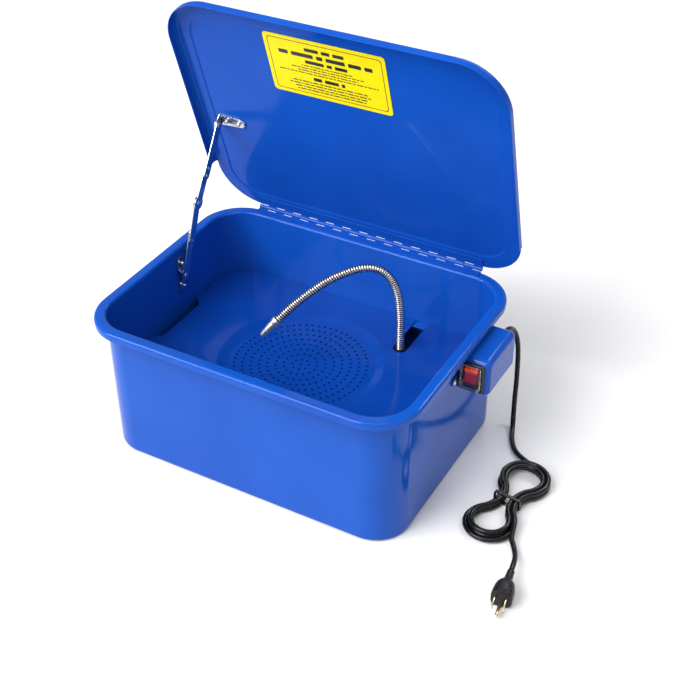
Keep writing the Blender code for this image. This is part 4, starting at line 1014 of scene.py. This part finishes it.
def sweep(bm, points, radii, sides):
    """Skin a bar of changing radius along a path, without twist."""
    tangents = []
    for i in range(len(points)):
        ahead = points[min(len(points) - 1, i + 1)]
        tangents.append((ahead - points[max(0, i - 1)]).normalized())
    side = tangents[0].orthogonal().normalized()
    rings = []
    for point, radius, tangent in zip(points, radii, tangents):
        side = (side - tangent * side.dot(tangent)).normalized()
        across = tangent.cross(side)
        rings.append([point + side * u + across * v for u, v in circle(radius, sides)])
    loft(bm, rings)


def make_hose():
    """Bendy spout of wound steel, ribs with narrow grooves between, the grooves painted
    near-black as shade.
    """
    route = [arch_point(*point) for point in HOSE_ROUTE]
    points = smooth_points(route, RIB_PITCH / RIB_STEPS)
    radii = []
    for i in range(len(points)):
        crown = abs(sin(pi * i / RIB_STEPS)) ** 0.8
        radii.append((HOSE_RADIUS - RIB_DEPTH * (1 - crown)) * MM)
    bm = bmesh.new()
    sweep(bm, points, radii, HOSE_SIDES)
    hose = make("wound_hose", bm, HOSE_STEEL, 80)
    hose.data.materials.append(HOSE_GROOVE_SHADE)
    # Faces in the grooves take the near-black steel: painted shade.
    for face in hose.data.polygons:
        if (face.index // HOSE_SIDES) % RIB_STEPS in (0, RIB_STEPS - 1):
            face.material_index = 1
    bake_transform(hose)
    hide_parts("spout_foot", "spout_bend", "spout_arch")
    run = (arch_point(*NOZZLE_END) - route[-1]).normalized()
    profile = [(5.9, 0), (6.6, 0.4), (6.8, 1), (6.8, 6.6), (6.5, 7.2), (6.1, 7.5), (6.1, 8.2)]
    for i in range(9):
        share = i / 8
        profile.append((6.1 - 2.6 * share ** 1.5, 8.6 + 21.2 * share))
    profile += [(3.1, 30.6), (2.8, 31), (2.4, 31.1), (2.1, 30.8), (2, 29), (2, 12), (3.6, 10),
                (3.6, 0)]
    at = route[-1] + run * GAP
    nozzle = turned("nozzle_tip", profile, at, run, NOZZLE_STEEL, 64, True, 30)
    show(nozzle, "spout", "chrome", "spout_nozzle")


def make_coupling():
    """Black collar that the hose stands in, with two ribs."""
    profile = [(7.6, 90.3), (7.8, 90.6), (7.8, 92.6), (7.5, 93), (7.5, 94.4), (7.8, 94.8),
               (7.8, 97.4), (7.8, 100.2), (7.6, 101), (7.2, 101.5), (6.6, 101.6),
               (5.9, 101.4), (5.7, 100.9), (5.7, 92.7), (4, 92.7), (4, 78), (6, 78), (6, 90.3)]
    collar = turned("hose_collar", profile, (HOSE_X, HOSE_Y, 0), UP, RUBBER, 48, True)
    show(collar, "tank", "black_rubber", "spout_coupling")


# ---- switch box

BOX_BEND = 7.5 * MM
BOX_CORNER = 9 * MM
BOX_FRONT_Y = 12.8 * MM
BOX_BACK_Y = 93 * MM
BOX_Z = (BOX_LOW.z + BOX_HIGH.z) / 2
BOX_HALF_Z = (BOX_HIGH.z - BOX_LOW.z) / 2
EAR_Z = 146.5 * MM
EAR_HALF = 6.5 * MM
EAR_SCREW = 11.2 * MM
EAR_SCREWS = (BOX_FRONT_Y - EAR_SCREW, BOX_BACK_Y + EAR_SCREW)
SCREW_HOLE = 2.3
CORD_HOLE = 5.5
# Half width, half height and corner radius, in mm
SWITCH_HOLE = (13.3, 15.8, 1.5)
RELIEF_END = 113
ROCKER_Y = 15.5 * MM
ROCKER_HALF_Z = 10.2
ROCKER_TILT = radians(-8)


def box_ring(inset, x):
    half_y = (BOX_BACK_Y - BOX_FRONT_Y) / 2 - inset
    middle_y = (BOX_BACK_Y + BOX_FRONT_Y) / 2
    outline = rounded(half_y, BOX_HALF_Z - inset, BOX_CORNER - inset, 12)
    return [Vector((x, middle_y + u, BOX_Z + v)) for u, v in outline]


def box_ears(wall):
    bm = bmesh.new()
    for side, edge in ((-1, BOX_FRONT_Y), (1, BOX_BACK_Y)):
        outline = [(edge - side * SHEET, EAR_Z - EAR_HALF)]
        for y, z in arc(0, 0, EAR_HALF, -90, 90, 20):
            outline.append((edge + side * (EAR_SCREW + y - 1 * MM), EAR_Z + z))
        outline.append((edge - side * SHEET, EAR_Z + EAR_HALF))
        loft(bm, across_x(outline, (wall, wall + SHEET)))
    return make("ears", bm, BLUE)


def switch_ring(half_x, half_z, radius, y):
    outline = rounded(half_x * MM, half_z * MM, radius * MM, 8)
    return [Vector((SWITCH_X + u, y, SWITCH_Z + v)) for u, v in outline]


def switch_solid(name, rings, material, smooth=40):
    return lofted(name, [switch_ring(*ring) for ring in rings], material, smooth)


def make_box():
    """Open-backed cover with round edges, on two lugs."""
    wall = TANK_HALF_X + GAP
    bend_x = BOX_HIGH.x - BOX_BEND
    outer = arc(-BOX_BEND, bend_x, BOX_BEND, 0, 90, BEND_STEPS)
    inner = arc(-BOX_BEND, bend_x, BOX_BEND - SHEET, 90, 0, BEND_STEPS)
    rings = [(-out, x) for out, x in inner] + [(SHEET, wall), (0, wall)]
    rings += [(-out, x) for out, x in outer]
    cover = lofted("box_cover", [box_ring(*ring) for ring in rings], BLUE)
    cut(cover, box_ears(wall), "UNION")
    hole = [(*SWITCH_HOLE, 0), (*SWITCH_HOLE, BOX_FRONT_Y + 5 * MM)]
    cut(cover, switch_solid("switch_hole", hole, BLUE))
    drill(cover, [(CORD_X, BOX_BACK_Y, CORD_Z, CORD_HOLE)], BACK)
    ears = [(wall, y, EAR_Z, SCREW_HOLE) for y in EAR_SCREWS]
    drill(cover, ears, RIGHT, 3)
    flatten(cover)
    show(cover, "tank", "blue_enamel", "switch_box_cover")


def make_screws():
    """Pan-head screws with a cross recess."""
    wall = TANK_HALF_X + 2 * GAP + SHEET
    for i, y in enumerate(EAR_SCREWS):
        at = Vector((wall, y, EAR_Z))
        profile = [(1.4, -9.5), (2, -8.5), (2, 0), (3.9, 0), (3.9, 0.7), *domed(3.9, 0.8, 1.6, 8)]
        screw = turned(f"pan_screw_{i + 1}", profile, at, RIGHT, RIVET_STEEL, 40)
        for angle in (0.3, 0.3 + pi / 2):
            flat = rounded(2.1 * MM, 0.42 * MM, 0.1 * MM, 2)
            turn = Matrix.Translation(at) @ Matrix.Rotation(angle, 4, "X")
            slot = across_x(flat, (1.2 * MM, 4 * MM), turn)
            cut(screw, lofted("recess", slot, RIVET_STEEL))
        resmooth(screw, 30)
        show(screw, "tank", "zinc", f"box_screw_{i + 1}")


def make_switch():
    """Black bezel with a deep well, under a clear splash boot."""
    back = BOX_FRONT_Y - GAP
    front = BEZEL_LOW.y
    rings = [(9.8, 13.3, 1, 24 * MM), (9.8, 13.3, 1, front + 2.6 * MM),
             (10.2, 13.7, 1.2, front + 2.2 * MM), (12.4, 15.9, 2, front + 0.6 * MM),
             (12.9, 16.4, 2.2, front)]
    for out, y in arc(15.3, 0, 1.2, 90, 0, 6):
        rings.append((out, out + 2.8, 2.6, front + (1.2 - y) * MM))
    rings += [(16.5, 19.3, 2.5, back), (13, 15.5, 1.2, back), (13, 15.5, 1.2, 37 * MM)]
    show(switch_solid("switch_bezel", rings, PLASTIC), "tank", "black_plastic", "switch_body")
    rings = [(9.5, 13, 2.4, 3.7 * MM)]
    for out, y in arc(11.3, 0, 1.4, 90, 0, 8):
        rings.append((out, out + 3.5, 3, (3.6 + 1.4 - y) * MM))
    rings += [(12.8, 16.3, 3, front - GAP), (11.9, 15.4, 2.3, front - GAP)]
    for out, y in arc(10.7, 0, 1, 0, 90, 8):
        rings.append((out + 0.2, out + 3.7, 2.3, (4.4 + 1 - y) * MM))
    rings.append((9.2, 12.7, 2, 4.45 * MM))
    show(switch_solid("splash_boot", rings, VINYL, 60), "tank", "clear_vinyl", "switch_boot")


def make_rocker():
    """The rocker, hollowed a little on each side of its ridge."""
    outline = []
    for i in range(17):
        z = ROCKER_HALF_Z * (1 - i / 8)
        outline.append((-6.2 - 2.4 * abs(z / ROCKER_HALF_Z) ** 1.4, z))
    outline += [(-8.2, -10.5), (-2, -10.6), (4, -5), (4, 5), (-2, 10.6), (-8.2, 10.5)]
    outline = [(y * MM, z * MM) for y, z in outline]
    rocker = lofted("lit_rocker", across_x(outline, (-7.9 * MM, 7.9 * MM)), RED, 25)
    pivot = Vector((SWITCH_X, ROCKER_Y, SWITCH_Z))
    move(rocker, Matrix.Translation(pivot) @ Matrix.Rotation(ROCKER_TILT, 4, "X"))
    bevel(rocker, 0.4 * MM, 3, 40)
    show(rocker, "rocker", "red_lens", "switch_rocker")


def make_relief():
    """Tapered rubber strain relief with grooves that let it bend."""
    start = BOX_BACK_Y / MM
    profile = [(3.6, start - 5), (7, start - 4.5), (7, start - 1.5), (5.2, start - 1.4),
               (5.2, start + 0.2), (7.2, start + 0.3), (7.5, start + 0.8), (7.4, start + 2.4),
               (6.8, start + 3.1)]
    for i in range(6):
        along = start + 4.1 + 2.4 * i
        radius = 5.7 - 0.29 * i
        profile += [(radius, along), (radius, along + 1.2), (radius - 0.9, along + 1.5),
                    (radius - 0.9, along + 2.2)]
    profile += [(4, RELIEF_END - 0.8), (3.6, RELIEF_END)]
    relief = turned("cord_boot", profile, (CORD_X, 0, CORD_Z), BACK, RUBBER, 40)
    bevel(relief, 0.15 * MM, 2, 30)
    show(relief, "tank", "black_rubber", "cord_strain_relief")


# ---- plug and cord tie

PLUG_TURN = radians(-81)
PLUG_START = Vector((343.5 * MM, -123.6 * MM, 12.4 * MM))
ON_PLUG = Matrix.Translation(PLUG_START) @ Matrix.Rotation(PLUG_TURN, 4, "Z")
PAD_ALONG = 35.5 * MM
GROUND_PIN = Vector((46.3 * MM, 0, -6.4 * MM))
# Half width, half height and corner radius of the plug at places along it, in mm
PLUG_SHAPE = (
    (3.7, 3.7, 3.6, 0), (4.4, 4.4, 4.3, 1.2), (4.6, 4.6, 4.5, 8), (4.9, 4.9, 4.8, 13),
    (5.6, 5.4, 5, 16), (8.2, 7.8, 6.4, 19.5), (10.2, 10, 7.4, 24), (11.7, 11.1, 8, 30),
    (12.2, 11.7, 8, 38), (12.2, 11.8, 8, 44.6), (11.8, 11.4, 7.7, 45.6), (11, 10.6, 7.2, 46),
)


def smooth_table(rows, steps):
    """The given rows with evenly spread rows in between."""
    full = []
    for row, following in zip(rows, rows[1:]):
        for i in range(steps):
            share = i / steps
            full.append(tuple(a + (b - a) * share for a, b in zip(row, following)))
    full.append(rows[-1])
    return full


def make_plug():
    """Plug with a ribbed neck and a raised pad on each broad face."""
    rings = []
    for half_y, half_z, radius, along in smooth_table(PLUG_SHAPE, 5):
        pinch = 0.35 if 1.5 < along < 15.5 and sin(along * 2.2) < -0.2 else 0
        flat = rounded((half_y - pinch) * MM, (half_z - pinch) * MM, (radius - pinch) * MM, 8)
        rings.append([ON_PLUG @ Vector((along * MM, u, v)) for u, v in flat])
    plug = lofted("moulded_plug", rings, RUBBER, 50)
    for side in (-1, 1):
        pad = []
        for grow, height in ((0, 10.2), (0, 11.9), (-0.5, 12.4), (-1.4, 12.6)):
            flat = rounded((8 + grow) * MM, (5.4 + grow) * MM, (5 + grow) * MM, 8)
            flat = [(PAD_ALONG + u, v) for u, v in flat]
            pad += across_z(flat, [side * height * MM], ON_PLUG)
        cut(plug, lofted("pad", pad, RUBBER), "UNION")
    resmooth(plug, 40)
    show(plug, "tank", "black_rubber", "plug_body")
    for side in ("left", "right"):
        refine(f"plug_blade_{side}", f"blade_{side}", BRASS, "tank", "brass", 0.2 * MM)
    profile = [(2.4, 0), (2.4, 17.2), *domed(2.4, 17.3, 3.2, 8)]
    start = ON_PLUG @ GROUND_PIN
    pin = turned("ground_pin", profile, start, ON_PLUG.to_3x3() @ Vector((1, 0, 0)), BRASS, 32)
    show(pin, "tank", "brass", "plug_ground_pin")


# The hank's waist, its cords, a gap and the tie's own thickness, in mm
TIE_HALF_X = 6.7 + 9.75 + 0.3 + 1.1


def make_tie():
    """Flat nylon tie round the waist of the hank."""
    low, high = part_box("cord_tie")
    middle_z = (low.z + high.z) / 2
    half_z = (high.z - low.z) / 2
    turn = Matrix.Translation(HANK_CENTRE) @ Matrix.Rotation(HANK_TURN, 4, "Z")
    rings = []
    for inset, y in ((1.1, -2.1), (0.8, -2.5), (0.2, -2.5), (0, -2.2), (0, 2.2), (0.2, 2.5),
                     (0.8, 2.5), (1.1, 2.1)):
        flat = rounded((TIE_HALF_X - inset) * MM, half_z - inset * MM, (2.6 - inset) * MM, 8)
        rings.append([turn @ Vector((u, y * MM, middle_z + v)) for u, v in flat])
    tie = lofted("nylon_tie", rings, PLASTIC, endless=True)
    show(tie, "tank", "black_plastic", "cord_tie")


# ---- the pump

# Kept from the CAD: node, new name, material, slot, edge radius in mm, body if not tank
CARRIED = (
    ("tray_ledge_front", "ledge_front", BLUE, "blue_enamel", 0.4),
    ("tray_ledge_back", "ledge_back", BLUE, "blue_enamel", 0.4),
    ("pump_housing", "pump_case", PUMP_PLASTIC, "pump_plastic", 0.8),
    ("pump_intake_cover", "intake_grille", PUMP_PLASTIC, "pump_plastic", 0.3),
    ("pump_impeller", "rotor", ROTOR_WHITE, "impeller_plastic", 0.3, "impeller"),
    ("pump_shaft", "rotor_shaft", RIVET_STEEL, "chrome", 0),
    *((f"pump_foot_{i}", f"suction_foot_{i}", RUBBER, "black_rubber", 0.2)
      for i in range(1, 5)),
    ("outlet_tube_clamp", "hose_clamp", ZINC, "zinc", 0.2),
    ("outlet_tube", "clear_tube", VINYL, "clear_vinyl", 0),
    ("pump_lead", "pump_flex", CORD_BLACK, "black_rubber", 0),
    ("pump_lead_grommet", "wall_grommet", RUBBER, "black_rubber", 0.3),
    ("terminal_block", "terminals", PLASTIC, "black_plastic", 0.6),
)


for build in (make_tank, make_tray, make_lid, make_hinge, make_label, make_stay, make_hose,
              make_coupling, make_box, make_screws, make_switch, make_rocker, make_relief,
              make_plug, make_tie):
    build()
for node, name, material, slot, radius, *body in CARRIED:
    refine(node, name, material, *(body or ["tank"]), slot, radius * MM)

# ---- studio

FLOOR_LEVEL = -0.2 * MM
FLOOR_REACH = 40
WORLD_STRENGTH = 0.41
# Suns: name, direction, strength and angle across in degrees
SUNS = (
    ("key_sun", (0.38, 0.66, -0.65), 2.95, 40),
    ("right_fill", (-0.85, 0.3, -0.4), 0.3, 60),
)
# Strip lights: name, place, width, height and power
STRIPS = (
    ("left_strip", (-1.5, -1.2, 1.2), 0.2, 1.6, 16),
    ("top_strip", (0.1, -0.7, 1.7), 1.8, 0.12, 9),
    ("back_strip", (0.3, 1.4, 1.6), 1.8, 0.3, 16),
)
STRIP_TARGET = Vector((0, 0, 0.15))


def make_floor():
    bm = bmesh.new()
    bm.faces.new([bm.verts.new((x, y, FLOOR_LEVEL)) for x, y in circle(FLOOR_REACH, 96)])
    tree = Tree("pale_floor")
    tree.colour(tree.mix(tree.noise(3, 4), (0.79, 0.79, 0.79), (0.82, 0.82, 0.82)))
    tree.rough(tree.noise(20, 4), 0.6, 0.7)
    make("floor", bm, tree.material)


def make_light(name, kind, direction, power):
    data = bpy.data.lights.new(name, kind)
    data.energy = power
    light = add_object(name, data)
    light.rotation_euler = Vector(direction).to_track_quat("-Z", "Y").to_euler()
    return light


def make_lights():
    world = bpy.data.worlds.new("studio")
    bpy.context.scene.world = world
    world.use_nodes = True
    background = world.node_tree.nodes["Background"]
    background.inputs["Color"].default_value = (1, 1, 1, 1)
    background.inputs["Strength"].default_value = WORLD_STRENGTH
    for name, direction, strength, angle in SUNS:
        make_light(name, "SUN", direction, strength).data.angle = radians(angle)
    for name, place, width, height, power in STRIPS:
        strip = make_light(name, "AREA", STRIP_TARGET - Vector(place), power)
        strip.location = place
        strip.data.shape = "RECTANGLE"
        strip.data.size = width
        strip.data.size_y = height
    # The default view greys the saturated enamel and the white background
    bpy.context.scene.view_settings.view_transform = "Standard"


make_floor()
make_lights()
